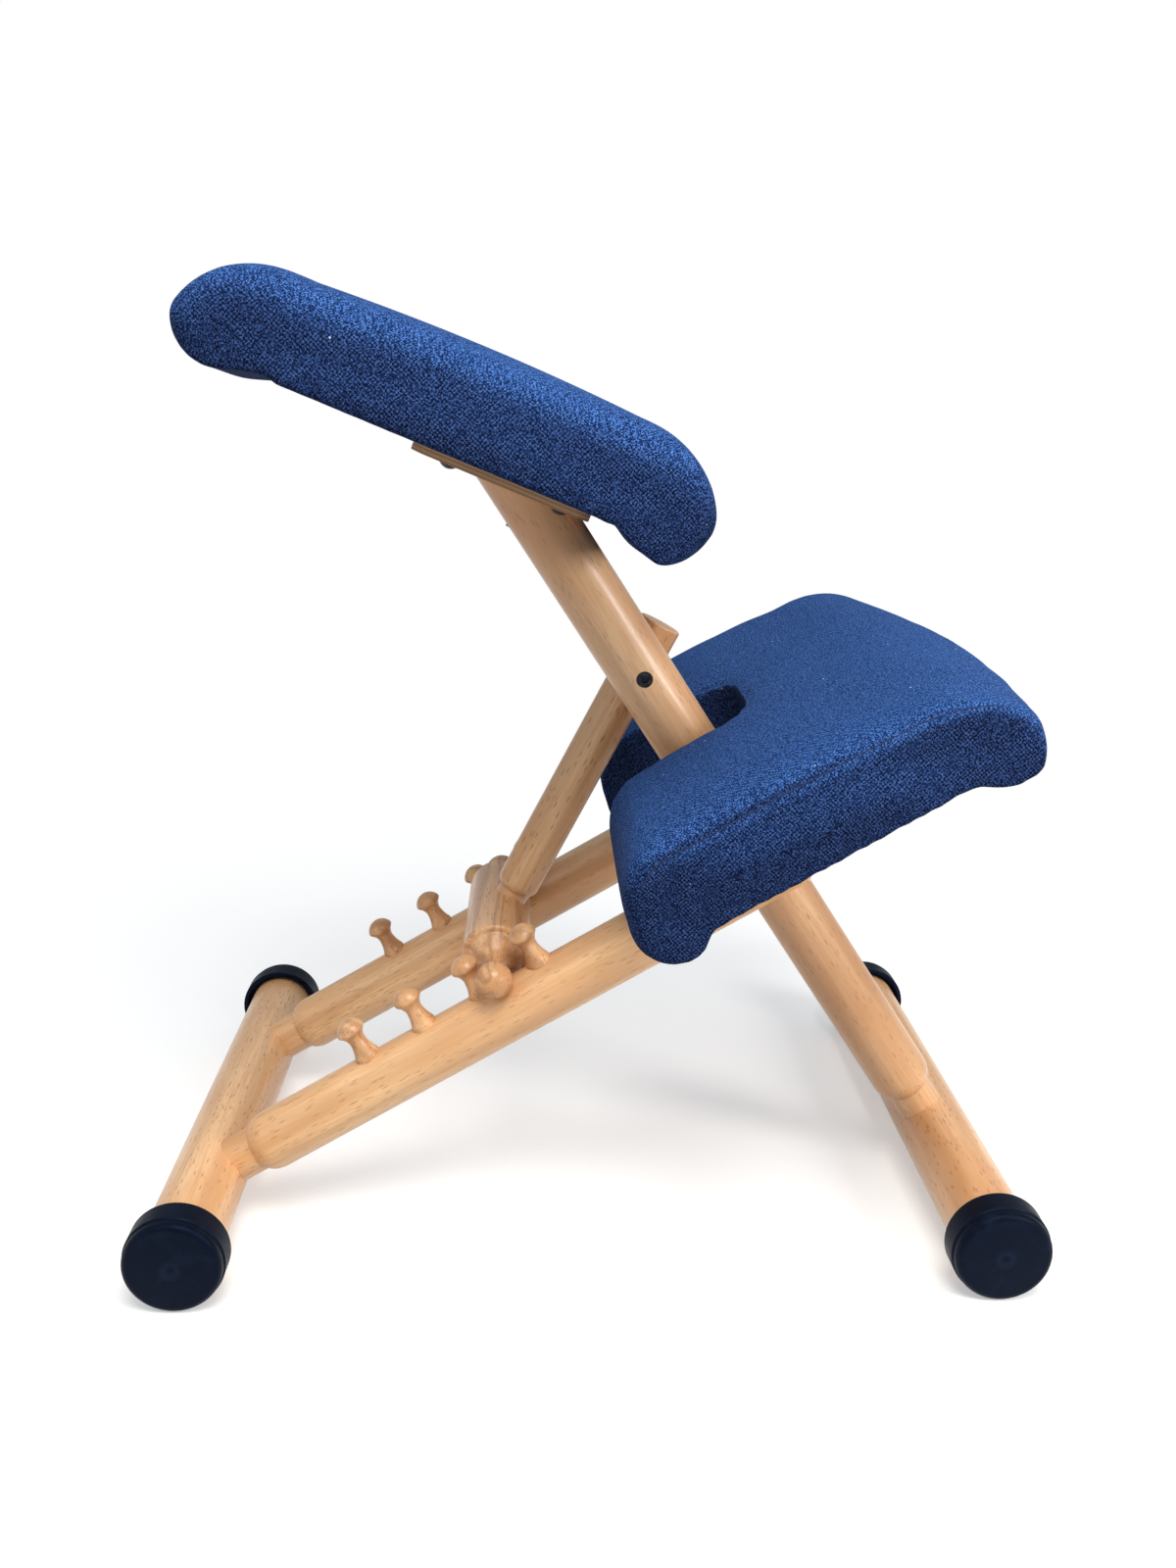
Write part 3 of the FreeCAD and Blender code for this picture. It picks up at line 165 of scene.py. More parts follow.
def makeBeech(name, turn, tint, shift, flecked, ring, ringAmount):
    wood = Nodes(name)
    rings = wood.along(turn, (0.05, 1, 1), shift)
    wobble = wood.add("TexNoise", {"Vector": rings, "Scale": 38.0, "Detail": 2.0})
    bent = wood.add("Mix", {0: 0.12}, data_type="VECTOR")
    wood.feed(bent, 4, rings)
    wood.feed(bent, 5, wobble.outputs["Color"])
    bands = wood.add("TexWave", {"Vector": bent.outputs[1], "Scale": 0.0346 / ring, "Distortion": 1.2,
                                 "Detail": 2.0, "Detail Scale": 1.5},
                     wave_type="BANDS", bands_direction="DIAGONAL")
    patches = wood.add("TexNoise", {"Vector": wood.along(turn, (0.25, 1, 1), shift),
                                    "Scale": 26.0, "Detail": 3.0})
    streaks = wood.add("TexNoise", {"Vector": wood.along(turn, (0.05, 1, 1), shift),
                                    "Scale": 0.6 / beech["streakWidth"], "Detail": 3.0, "Roughness": 0.6})
    fibres = wood.add("TexNoise", {"Vector": wood.along(turn, (0.035, 1, 1), shift),
                                   "Scale": 0.6 / beech["fibreWidth"], "Detail": 3.0, "Roughness": 0.65})
    flecks = wood.add("TexVoronoi", {
        "Vector": wood.along(turn, (beech["fleckWidth"] / beech["fleckLength"], 1, 1), shift),
        "Scale": 0.42 / beech["fleckWidth"], "Randomness": 1.0})
    isFleck = wood.span(flecks.outputs["Distance"], 0.3, 0.12)
    picked = wood.span(flecks.outputs["Color"], 0.36, 0.46)  # some of the cells only
    fleckMask = wood.math("MULTIPLY", isFleck, picked, clamp=True)
    tone = wood.ramp(patches.outputs["Fac"], [(0.3, beech["deep"]), (0.62, beech["light"])])
    tone = wood.mix(wood.span(bands.outputs["Fac"], 0.5, 0.95, 0.0, ringAmount), tone, beech["fleck"])
    streaked = wood.span(streaks.outputs["Fac"], 0.42, 0.7, 0.0, beech["streakAmount"])
    tone = wood.mix(streaked, tone, beech["deep"])
    fibred = wood.span(fibres.outputs["Fac"], 0.35, 0.7, 0.0, beech["fibreAmount"])
    tone = wood.mix(fibred, tone, beech["deep"])
    strength = wood.math("MULTIPLY", fleckMask, beech["fleckAmount"] * flecked, clamp=True)
    tone = wood.mix(strength, tone, beech["fleck"])
    wood.feed(wood.shader, "Base Color", wood.mix(1.0, tone, tint, "MULTIPLY"))
    wood.feed(wood.shader, "Roughness", wood.span(fibres.outputs["Fac"], 0.3, 0.7,
                                                  beech["roughness"] - 0.05, beech["roughness"] + 0.09))
    wood.shader.inputs["Coat Weight"].default_value = beech["coat"]
    wood.shader.inputs["Coat Roughness"].default_value = beech["coatRoughness"]
    grain = wood.math("SUBTRACT", fibres.outputs["Fac"], wood.math("MULTIPLY", fleckMask, 0.6))
    wood.bump(grain, 0.14, 0.0003)
    return wood.material


# each turned piece has its own cut of the wood: grain direction in degrees about Y and Z,
# tint, place in the log, how strong its flecks are, width and strength of its rings
cuts = {
    "beechRails": (slopes["rail"], 0, (1.03, 1.01, 0.95), (0.3, 0.11, 0.07), 1.0, 0.0042, 0.22),
    "beechPost": (180 - slopes["post"], 0, (0.97, 0.94, 0.93), (0.8, 0.05, 0.31), 1.0, 0.0042, 0.22),
    "beechStrut": (slopes["strut"], 0, (0.94, 0.9, 0.85), (1.4, 0.21, 0.52), 1.5, 0.0042, 0.22),
    "beechCrossbars": (0, 90, (1.02, 0.99, 0.96), (0.1, 0.43, 0.2), 1.3, 0.0042, 0.22),
    "beechNotchBar": (0, 90, (0.95, 0.89, 0.82), (2.1, 0.13, 0.6), 1.5, 0.0017, 0.5),
    "beechPegs": (slopes["rail"] - 90, 0, (0.97, 0.92, 0.86), (0.6, 0.3, 0.9), 1.4, 0.0022, 0.5),
}
hands = ("left", "right")
turned = {
    "beechRails": [f"rail_{hand}" for hand in hands],
    "beechPost": ["post"],
    "beechStrut": ["strut"],
    "beechCrossbars": ["rear_crossbar", "front_crossbar"],
    "beechNotchBar": ["notch_barrel"] + [f"notch_end_{hand}" for hand in hands],
    "beechPegs": [f"peg_{hand}_{index}" for hand in hands for index in (1, 2, 3, 4)],
}
for name, (aboutY, aboutZ, *rest) in cuts.items():
    dress(turned[name], makeBeech(name, (0, math.radians(aboutY), math.radians(aboutZ)), *rest))
print("beech on bars, pegs and notch bar")

# plywood of boards and cores: pale veneers, the edges show the layers
plywood = {"veneer": colour(222, 178, 132), "cross": colour(176, 122, 80), "layer": 0.0013}


def makePlywood(name, slope, shift):
    ply = Nodes(name)
    turn = (0, math.radians(slope), 0)
    split = ply.add("SeparateXYZ", {"Vector": ply.along(turn, (1, 1, 1), shift)})
    layers = ply.math("PINGPONG", split.outputs["Z"], plywood["layer"])
    isCross = ply.span(layers, plywood["layer"] * 0.4, plywood["layer"] * 0.62)
    fibres = ply.add("TexNoise", {"Vector": ply.along(turn, (0.05, 1, 1), shift),
                                  "Scale": 900.0, "Detail": 3.0})
    streaks = ply.span(fibres.outputs["Fac"], 0.35, 0.7, 0.0, 0.35)
    veneer = ply.mix(streaks, plywood["veneer"], plywood["cross"])
    layered = ply.mix(ply.math("MULTIPLY", isCross, 0.7), veneer, plywood["cross"])
    ply.feed(ply.shader, "Base Color", layered)
    ply.feed(ply.shader, "Roughness", ply.span(fibres.outputs["Fac"], 0.3, 0.7, 0.42, 0.6))
    ply.bump(fibres.outputs["Fac"], 0.2, 0.0003)
    return ply.material


dress(["knee_board", "knee_core"], makePlywood("plywoodKnee", slopes["rail"], (0.2, 0, 0.0002)))
dress(["seat_plate", "seat_core"], makePlywood("plywoodSeat", -slopes["seat"], (0.5, 0, 0.0007)))

# black rubber of the end caps: satin, a little scuffed, pores in metres
rubber = {"base": colour(6, 12, 26), "scuff": colour(34, 46, 66), "roughness": 0.44, "pore": 0.0006}


def makeRubber():
    cap = Nodes("blackRubber")
    place = cap.add("TexCoord").outputs["Object"]
    smudges = cap.add("TexNoise", {"Vector": place, "Scale": 60.0, "Detail": 5.0, "Roughness": 0.65})
    pores = cap.add("TexNoise", {"Vector": place, "Scale": 0.5 / rubber["pore"], "Detail": 2.0})
    worn = cap.span(cap.add("NewGeometry").outputs["Pointiness"], 0.52, 0.6, 0.0, 0.35)
    dusty = cap.span(smudges.outputs["Fac"], 0.5, 0.78, 0.0, 0.3)
    base = cap.mix(cap.math("ADD", dusty, worn, clamp=True), rubber["base"], rubber["scuff"])
    cap.feed(cap.shader, "Base Color", base)
    cap.feed(cap.shader, "Roughness", cap.span(smudges.outputs["Fac"], 0.35, 0.7,
                                               rubber["roughness"] - 0.06, rubber["roughness"] + 0.14))
    cap.shader.inputs["Specular IOR Level"].default_value = 0.12
    cap.shader.inputs["Specular Tint"].default_value = (*colour(170, 200, 255), 1)
    cap.bump(pores.outputs["Fac"], 0.25, 0.0002)
    return cap.material


dress([f"crossbar_cap_{end}_{hand}" for end in ("front", "rear") for hand in hands], makeRubber())


# screws and fittings: one metal recipe, three finishes
def makeMetal(name, light, dark, roughness, metallic):
    metal = Nodes(name)
    place = metal.add("TexCoord").outputs["Object"]
    wear = metal.add("TexNoise", {"Vector": place, "Scale": 350.0, "Detail": 4.0, "Roughness": 0.7})
    bright = metal.span(wear.outputs["Fac"], 0.42, 0.66)
    metal.feed(metal.shader, "Base Color", metal.mix(bright, dark, light))
    metal.feed(metal.shader, "Roughness", metal.span(wear.outputs["Fac"], 0.3, 0.7,
                                                     roughness - 0.08, roughness + 0.1))
    metal.shader.inputs["Metallic"].default_value = metallic
    metal.bump(wear.outputs["Fac"], 0.12, 0.0002)
    return metal.material


blackSteel = makeMetal("blackSteel", colour(62, 66, 74), colour(28, 30, 34), 0.36, 0.7)
zincSteel = makeMetal("zincSteel", colour(196, 198, 200), colour(150, 153, 156), 0.34, 1.0)
spacerPlastic = makeMetal("spacerPlastic", colour(52, 52, 54), colour(36, 36, 38), 0.5, 0.0)
dress(["strut_screw", "strut_nut", "seat_bolts", "knee_bolts"], blackSteel)
dress(["board_screws", "post_screws", "pivot_axle", "pivot_nut_left", "pivot_nut_right", "knee_tee_nuts",
       "seat_tee_nuts", "strut_washer"], zincSteel)
dress(["pivot_spacer_short", "pivot_spacer_long"], spacerPlastic)
print("plywood, rubber and metal done")

# blue wool crepe: small pebbles of thread, paler where they stand up, a few specks of lint, painted light
# on the tops and painted shade on the sides; metres
crepe = {
    "thread": colour(80, 124, 196), "middle": colour(30, 62, 120), "gap": colour(4, 12, 50),
    # worn: a paler blue painted in patches on the tops as light from above; sideShade: painted shade that
    # darkens the sides
    "worn": colour(46, 90, 152), "lint": colour(205, 220, 235), "lintEvery": 0.019,
    "pebble": 0.0015, "wander": 0.003, "wanderPerMetre": 430.0, "evenShare": 0.55,
    "sideShade": (0.46, 0.37, 0.38), "roughness": 0.9, "sheen": colour(90, 150, 235),
}


def makeCrepe(name):
    cloth = Nodes(name)
    place = cloth.add("TexCoord").outputs["Object"]
    wander = cloth.add("TexNoise", {"Vector": place, "Scale": crepe["wanderPerMetre"], "Detail": 2.0})
    centred = cloth.add("VectorMath", {0: wander.outputs["Color"], 1: (0.5,) * 3}, operation="SUBTRACT")
    bent = cloth.add("VectorMath", {0: centred.outputs[0], 1: (crepe["wander"],) * 3, 2: place},
                     operation="MULTIPLY_ADD").outputs[0]
    total = 0.0
    for across in ((1, 1, 1), (1, -1, -1), (-1, 1, -1), (-1, -1, 1)):  # four crossed sets of rows
        rows = tuple(part * 3.63 / crepe["pebble"] for part in across)
        phase = cloth.add("VectorMath", {0: bent, 1: rows}, operation="DOT_PRODUCT").outputs["Value"]
        total = cloth.math("ADD", cloth.math("SINE", phase), total)
    twist = cloth.add("TexNoise", {"Vector": place, "Scale": 1.7 / crepe["pebble"], "Detail": 1.0})
    even = crepe["evenShare"]
    height = cloth.math("ADD", cloth.span(total, -1.9, 2.2, 0.0, even),
                        cloth.span(twist.outputs["Fac"], 0.32, 0.68, 0.0, 1 - even), clamp=True)
    tone = cloth.ramp(height, [(0.26, crepe["gap"]), (0.5, crepe["middle"]), (0.76, crepe["thread"])])
    shade = cloth.add("TexNoise", {"Vector": place, "Scale": 11.0, "Detail": 3.0})
    up = cloth.add("SeparateXYZ", {"Vector": cloth.add("NewGeometry").outputs["Normal"]}).outputs["Z"]
    paintedTopLight = cloth.span(up, 0.0, 0.75)  # painted light and shade: paler on top, darker on the sides
    # patches of the worn colour, only on upward faces: random patches and painted light from above
    patchesAndTopLight = cloth.math("MULTIPLY", cloth.span(shade.outputs["Fac"], 0.34, 0.7, 0.04, 0.2), paintedTopLight)
    # painted shade: the weave's tone darkened by sideShade where the cloth faces sideways or down
    deep = cloth.mix(1.0, tone, crepe["sideShade"], "MULTIPLY")
    # the weave with the painted top light and the painted side shade
    weaveWithPaintedLight = cloth.mix(patchesAndTopLight, cloth.mix(paintedTopLight, deep, tone), crepe["worn"])
    specks = cloth.add("TexVoronoi", {"Vector": place, "Scale": 1 / crepe["lintEvery"]})
    isLint = cloth.span(specks.outputs["Distance"], 0.042, 0.024)
    coloured = cloth.mix(isLint, weaveWithPaintedLight, crepe["lint"])
    cloth.feed(cloth.shader, "Base Color", coloured)
    cloth.shader.inputs["Roughness"].default_value = crepe["roughness"]
    cloth.shader.inputs["Sheen Weight"].default_value = 0.05
    cloth.shader.inputs["Sheen Roughness"].default_value = 0.4
    cloth.shader.inputs["Sheen Tint"].default_value = (*crepe["sheen"], 1)
    cloth.shader.inputs["Specular IOR Level"].default_value = 0.1
    cloth.bump(height, 0.6, 0.0006)
    return cloth.material


crepeCloth = makeCrepe("blueCrepe")


def makeThread():
    thread = Nodes("seamThread")
    place = thread.add("TexCoord").outputs["Object"]
    twist = thread.add("TexNoise", {"Vector": place, "Scale": 1400.0, "Detail": 2.0})
    twisted = thread.mix(twist.outputs["Fac"], colour(6, 14, 42), colour(26, 46, 96))
    thread.feed(thread.shader, "Base Color", twisted)
    thread.shader.inputs["Roughness"].default_value = 0.8
    thread.bump(twist.outputs["Fac"], 0.4, 0.0002)
    return thread.material


seamThread = makeThread()


# cushions: a lofted form, remeshed, filled by cloth simulation
lofting = {"arcPoints": 14, "edgePoints": 3, "cornerTurns": range(0, 90, 9),
           "across": (0.97, 0.9, 0.8, 0.66, 0.5, 0.34, 0.17),
           "softness": 0.5, "firstRounds": 3, "lastRounds": 2}


def arcPoints(start, middle, end, count):
    # points after start, up to end, on the circle through the three
    ax, ay = start
    bx, by = middle
    cx, cy = end
    d = 2 * (ax * (by - cy) + bx * (cy - ay) + cx * (ay - by))
    aa, bb, cc = ax * ax + ay * ay, bx * bx + by * by, cx * cx + cy * cy
    ux = (aa * (by - cy) + bb * (cy - ay) + cc * (ay - by)) / d
    uy = (aa * (cx - bx) + bb * (ax - cx) + cc * (bx - ax)) / d
    radius = math.hypot(ax - ux, ay - uy)
    first, atMiddle, atEnd = (math.atan2(y - uy, x - ux) for x, y in (start, middle, end))
    sweep = (atEnd - first) % math.tau
    if (atMiddle - first) % math.tau >= sweep:
        sweep -= math.tau
    turns = [first + sweep * k / count for k in range(1, count + 1)]
    return [(ux + radius * math.cos(turn), uy + radius * math.sin(turn)) for turn in turns]


def fullOutline(corners):
    # two numbers end a straight edge, four are the middle and end of an arc
    points, start = [], corners[-1][-2:]
    for corner in corners:
        end = corner[-2:]
        if len(corner) == 4:
            points += arcPoints(start, corner[:2], end, lofting["arcPoints"])
        else:
            count = lofting["edgePoints"]
            for k in range(1, count + 1):
                points.append(tuple(a + (b - a) * k / count for a, b in zip(start, end)))
        start = end
    return points


def standBack(depth, radius):
    # how far a rounded edge stands back at this depth from its side
    return 0.0 if depth >= radius else radius - math.sqrt(radius ** 2 - (radius - depth) ** 2)


def stretched(value, start, end, moved):
    # scales the part from start to end so that the end comes to its new place
    return start + (value - start) * (moved - start) / (end - start)


def pushed(value, start, end, moved):
    # carries the end to its new place and leaves the part near the start alone
    return value + (moved - end) * ((value - start) / (end - start)) ** 2.5


def stations(half, rounding):
    # where the sections stand across the cushion, close together at the rounded sides
    turns = [half - rounding * (1 - math.cos(math.radians(turn))) for turn in lofting["cornerTurns"]]
    inner = [(half - rounding) * share for share in lofting["across"]]
    positive = turns + inner
    return [-place for place in positive] + [0.0] + positive[::-1]


def loftCushion(name, pad, section, place):
    outline = fullOutline(pad["corners"])
    mesh = bmesh.new()
    rings = []
    for y in stations(pad["halfWidth"], pad["corner"]):
        warp = section(y)
        rings.append([mesh.verts.new(place @ (Vector(warp(*point)) * mm)) for point in outline])
    for first, second in zip(rings, rings[1:]):
        for k in range(len(outline)):
            mesh.faces.new((first[k - 1], first[k], second[k], second[k - 1]))
    mesh.faces.new(rings[0][::-1])
    mesh.faces.new(rings[-1])
    bmesh.ops.recalc_face_normals(mesh, faces=mesh.faces)
    data = bpy.data.meshes.new(name)
    mesh.to_mesh(data)
    mesh.free()
    piece = bpy.data.objects.new(name, data)
    bpy.context.scene.collection.objects.link(piece)
    return piece


def applied(piece):
    # bakes the piece's modifiers into its mesh
    graph = bpy.context.evaluated_depsgraph_get()
    data = bpy.data.meshes.new_from_object(piece.evaluated_get(graph))
    piece.modifiers.clear()
    old = piece.data
    piece.data = data
    bpy.data.meshes.remove(old)
    return piece


def soften(piece, rounds):
    # relaxes the steps of the voxels
    modifier = piece.modifiers.new("soften", "SMOOTH")
    modifier.factor, modifier.iterations = lofting["softness"], rounds


def remesh(piece, voxel):
    modifier = piece.modifiers.new("voxels", "REMESH")
    modifier.mode = "VOXEL"
    modifier.voxel_size = voxel
    soften(piece, lofting["firstRounds"])
    return applied(piece)


def moveVertices(piece, change):
    # change(vertex, place, normal) gives the new place
    data = piece.data
    places = [change(v, v.co.copy(), v.normal.copy()) for v in data.vertices]
    for v, place in zip(data.vertices, places):
        v.co = place
    data.update()


# how the cloth is simulated, the same for both cushions
filling = {"frames": 20, "quality": 5, "mass": 0.25, "bending": 0.4, "shearShare": 0.5, "gravity": 0.0,
           "evenRounds": 14, "ownShare": 0.4}


def evened(data, moves):
    # shares each vertex's move with its neighbours, so the swelling has no creases
    edges = numpy.array([edge.vertices[:] for edge in data.edges])
    field = numpy.array(moves)
    first, second = edges.T
    count = numpy.bincount(edges.ravel(), minlength=len(field))[:, None]
    own = filling["ownShare"]
    for _ in range(filling["evenRounds"]):
        around = numpy.zeros_like(field)
        numpy.add.at(around, first, field[second])
        numpy.add.at(around, second, field[first])
        field = field * own + around / count * (1 - own)
    return [Vector(move) for move in field]


def fillCushion(piece, pad, isHeld, reach):
    # isHeld(place): rests on its board; reach(place): how far a point may swell
    start = [v.co.copy() for v in piece.data.vertices]
    held = piece.vertex_groups.new(name="held")
    held.add([v.index for v in piece.data.vertices if isHeld(v.co)], 1.0, "REPLACE")
    cloth = piece.modifiers.new("fill", "CLOTH")
    settings = cloth.settings
    settings.quality, settings.mass = filling["quality"], filling["mass"]
    settings.tension_stiffness = settings.compression_stiffness = pad["stretch"]
    settings.shear_stiffness = pad["stretch"] * filling["shearShare"]
    settings.bending_stiffness = filling["bending"]
    settings.use_pressure = True
    settings.uniform_pressure_force = pad["pressure"]
    settings.effector_weights.gravity = filling["gravity"]
    settings.vertex_group_mass = "held"
    cloth.point_cache.frame_start, cloth.point_cache.frame_end = 1, filling["frames"]
    scene = bpy.context.scene
    for step in range(1, filling["frames"] + 1):
        scene.frame_set(step)
    graph = bpy.context.evaluated_depsgraph_get()
    swollen = [v.co.copy() for v in piece.evaluated_get(graph).data.vertices]
    piece.modifiers.clear()
    piece.vertex_groups.clear()
    scene.frame_set(1)
    moves = []
    for old, new in zip(start, swollen):
        move = new - old
        most = reach(old)
        if move.length > most:
            move *= most / move.length
        moves.append(move)
    for v, old, move in zip(piece.data.vertices, start, evened(piece.data, moves)):
        v.co = old + move
    piece.data.update()


# the underside round the board, millimetres: where the cloth is tight and how steeply it may hang
under = {"rearTuck": 14.0, "frontTuck": 12.0, "tuckWidth": 11.0, "tuckTop": 20.0, "tuckFade": 16.0,
         "tuckAmount": 0.85, "grip": 2.5, "slack": 0.2, "slope": 1.1}


def tucked(pad, along, height):
    # the cloth is pulled tight where the underside turns down past the board's edge
    low, high = pad["flat"]
    gap = min(abs(along - low + under["rearTuck"]), abs(along - high - under["frontTuck"]))
    beneath = min(1.0, max(0.0, (pad["base"] + under["tuckTop"] - height) / under["tuckFade"]))
    return 1 - under["tuckAmount"] * beneath * math.exp(-(gap / under["tuckWidth"]) ** 2)


def lowest(pad, along):
    # the board under the cushion, then a slope that the hanging ends may follow
    low, high = pad["flat"]
    beyond = max(low - along, along - high, 0.0)
    return pad["base"] - under["slack"] - beyond * under["slope"]


def gripped(pad, along, y, height):
    # true where the cloth is stapled flat under the board
    rear, front, side = pad["held"]
    return height < pad["base"] + under["grip"] and rear < along < front and abs(y) < side


def drawIn(piece, pad, isHeld):
    # a little small before it is filled
    moveVertices(piece, lambda v, place, normal: place if isHeld(place) else place - normal * pad["shrink"])


def subdivide(piece):
    soften(piece, lofting["lastRounds"])
    modifier = piece.modifiers.new("finer", "SUBSURF")
    modifier.levels = modifier.render_levels = 1
    return applied(piece)


def nearest(points):
    tree = KDTree(len(points))
    for index, point in enumerate(points):
        tree.insert(point, index)
    tree.balance()
    return tree


def surfaceLine(piece, points, away, reach=0.08):
    # drops each point onto the piece along a direction
    tree = BVHTree.FromObject(piece, bpy.context.evaluated_depsgraph_get())
    found = []
    for point in points:
        hit = tree.ray_cast(point + away * reach, -away, reach * 2)
        if hit[0] is not None:
            found.append(hit[0])
    return found


def sewSeam(piece, line, seam):
    # draws the cloth in along a line; strength fades at both ends
    tree = nearest(line)
    last = len(line) - 1

    def pulled(v, place, normal):
        point, index, distance = tree.find(place)
        if distance > seam["width"] * 3:
            return place
        ends = min(index, last - index) / max(1, last * seam["fade"])
        strength = min(1.0, ends)
        dip = seam["depth"] * math.exp(-(distance / seam["width"]) ** 2)
        welt = seam["welt"] * math.exp(-((distance - seam["width"] * 2) / seam["width"]) ** 2)
        return place - normal * (dip - welt) * strength

    moveVertices(piece, pulled)


def layThread(name, line, seam, piece):
    # the sewing thread lies at the bottom of the seam
    tree = BVHTree.FromObject(piece, bpy.context.evaluated_depsgraph_get())
    curve = bpy.data.curves.new(name, "CURVE")
    curve.dimensions = "3D"
    curve.bevel_depth = seam["thread"]
    curve.bevel_resolution = 2
    spline = curve.splines.new("POLY")
    spline.points.add(len(line) - 1)
    for item, point in zip(spline.points, line):
        place, normal, index, distance = tree.find_nearest(point)
        item.co = (*(place - normal * seam["thread"] * 0.55), 1)
    thread = bpy.data.objects.new(name, curve)
    thread.data.materials.append(seamThread)
    bpy.context.scene.collection.objects.link(thread)
    return thread


def smoothShade(piece):
    # round to the eye, not faceted
    for face in piece.data.polygons:
        face.use_smooth = True


# knee pad, in the rail's frame: along it, square off it, millimetres; voxel, shrink and swell in metres
kneePad = {
    "halfWidth": 222.0, "corner": 14.0, "bow": 22.0, "crownDrop": 0.8, "topRound": 13.0, "bottomRound": 1.5,
    "flat": (402.0, 558.0), "ends": (351.0, 635.0), "base": 32.3, "top": 95.3,
    "held": (400.0, 560.0, 230.0), "railOffset": 91.6, "railRadius": 20.9,
    "corners": [(402, 32.3), (393, 27.3), (376, 17.3, 351, 54.3), (359, 79.3, 395, 94.8),
                (473, 95.3, 543, 87.3), (600, 70.3, 631, 44.3), (620, 25.8, 588, 15.8),
                (577, 17.3), (568, 22.8), (558, 32.3)],
    "slot": {"near": -61.0, "far": 39.0, "front": 474.0, "corner": 27.0, "rear": 330.0, "depth": 140.0},
    "slotSwell": 0.22, "slotFrom": 4.0, "slotReach": 26.0,
    "voxel": 0.0045, "shrink": 0.0025, "swell": 0.0032, "pressure": 4.0, "stretch": 5.0, "fill": 0.85,
}


def kneeSection(y):
    pad = kneePad
    out, depth = abs(y) / pad["halfWidth"], pad["halfWidth"] - abs(y)
    corner = standBack(depth, pad["corner"])
    lift = standBack(depth, pad["bottomRound"])
    rear, front = pad["ends"]
    movedRear, movedFront = rear + corner, front - corner / 2 - pad["bow"] * out ** 2
    topDrop = pad["crownDrop"] * out ** 2 + standBack(depth, pad["topRound"]) * 0.85
    base, top = pad["base"], pad["top"]

    def warp(along, height):
        if along < pad["flat"][0]:
            along = stretched(along, pad["flat"][0], rear, movedRear)
        elif along > pad["flat"][1]:
            along = pushed(along, pad["flat"][1], front, movedFront)
        if height > base:
            height = stretched(height, base, top, top - topDrop - lift)
        return along, y, height + lift

    return warp


def slotPlan(inset=0.0):
    # the slot's outline, open to the rear, as points from the near side round to the far side
    slot = kneePad["slot"]
    near, far, front = slot["near"] - inset, slot["far"] + inset, slot["front"] + inset
    corner = slot["corner"] + inset
    points = [(slot["rear"], near), (front - corner, near)]
    for turn in range(10, 91, 10):
        a = math.radians(turn)
        points.append((front - corner + corner * math.sin(a), near + corner - corner * math.cos(a)))
    for turn in range(0, 91, 10):
        a = math.radians(turn)
        points.append((front - corner + corner * math.cos(a), far - corner + corner * math.sin(a)))
    points.append((slot["rear"], far))
    return points


def makeSlotCutter():
    mesh = bmesh.new()
    plan = slotPlan()
    low = [mesh.verts.new(railFrame @ Vector((s * mm, y * mm, 0.0))) for s, y in plan]
    depth = kneePad["slot"]["depth"]
    high = [mesh.verts.new(railFrame @ Vector((s * mm, y * mm, depth * mm))) for s, y in plan]
    for k in range(len(plan)):
        mesh.faces.new((low[k - 1], low[k], high[k], high[k - 1]))
    mesh.faces.new(low[::-1])
    mesh.faces.new(high)
    bmesh.ops.recalc_face_normals(mesh, faces=mesh.faces)
    data = bpy.data.meshes.new("slotCutter")
    mesh.to_mesh(data)
    mesh.free()
    cutter = bpy.data.objects.new("slotCutter", data)
    bpy.context.scene.collection.objects.link(cutter)
    return cutter


def slotDistance(s, y):
    # how far a point of the plan is from the slot, negative inside
    slot = kneePad["slot"]
    dy = max(slot["near"] - y, y - slot["far"])
    ds = s - slot["front"]
    return math.hypot(max(dy, 0), max(ds, 0)) if max(dy, ds) > 0 else max(dy, ds)


def makeKneePad():
    pad = kneePad
    piece = loftCushion("kneePad", pad, kneeSection, railFrame)
    cutter = makeSlotCutter()
    cut = piece.modifiers.new("slot", "BOOLEAN")
    cut.operation, cut.object, cut.solver = "DIFFERENCE", cutter, "EXACT"
    applied(piece)
    bpy.data.objects.remove(cutter)
    remesh(piece, pad["voxel"])
    toRail = railFrame.inverted()

    def onBoard(place):
        return gripped(pad, *(toRail @ place / mm))

    def reach(place):
        s, y, n = toRail @ place / mm
        near = min(1.0, max(0.0, (slotDistance(s, y) - pad["slotFrom"]) / pad["slotReach"]))
        least = pad["slotSwell"]
        return pad["swell"] * (least + (1 - least) * near) * tucked(pad, s, n)

    drawIn(piece, pad, onBoard)
    fillCushion(piece, pad, onBoard, reach)
    subdivide(piece)

    def settled(v, place, normal):
        s, y, n = toRail @ place / mm
        off = abs(abs(y) - pad["railOffset"])
        if off < pad["railRadius"]:
            n = max(n, math.sqrt(pad["railRadius"] ** 2 - off ** 2))  # the rear end rests on the rails
        return railFrame @ (Vector((s, y, max(n, lowest(pad, s)))) * mm)

    moveVertices(piece, settled)
    return piece


# a seam along each side of the top and one round the slot; widths in metres, places in millimetres
kneeSeams = {"width": 0.0026, "depth": 0.0012, "welt": 0.0001, "thread": 0.0005, "fade": 0.16,
             "points": 140, "from": 372.0, "to": 596.0, "inFromSide": 3.5, "height": 84.0,
             "fallFrom": 540.0, "fall": 0.0055, "leadTo": 392.0, "lead": 0.02, "lean": 0.9}
facingSeam = {"width": 0.0026, "depth": 0.0011, "welt": 0.0001, "thread": 0.0004, "fade": 0.05,
              "inFromSlot": 7.0, "height": 95.0, "between": 4}


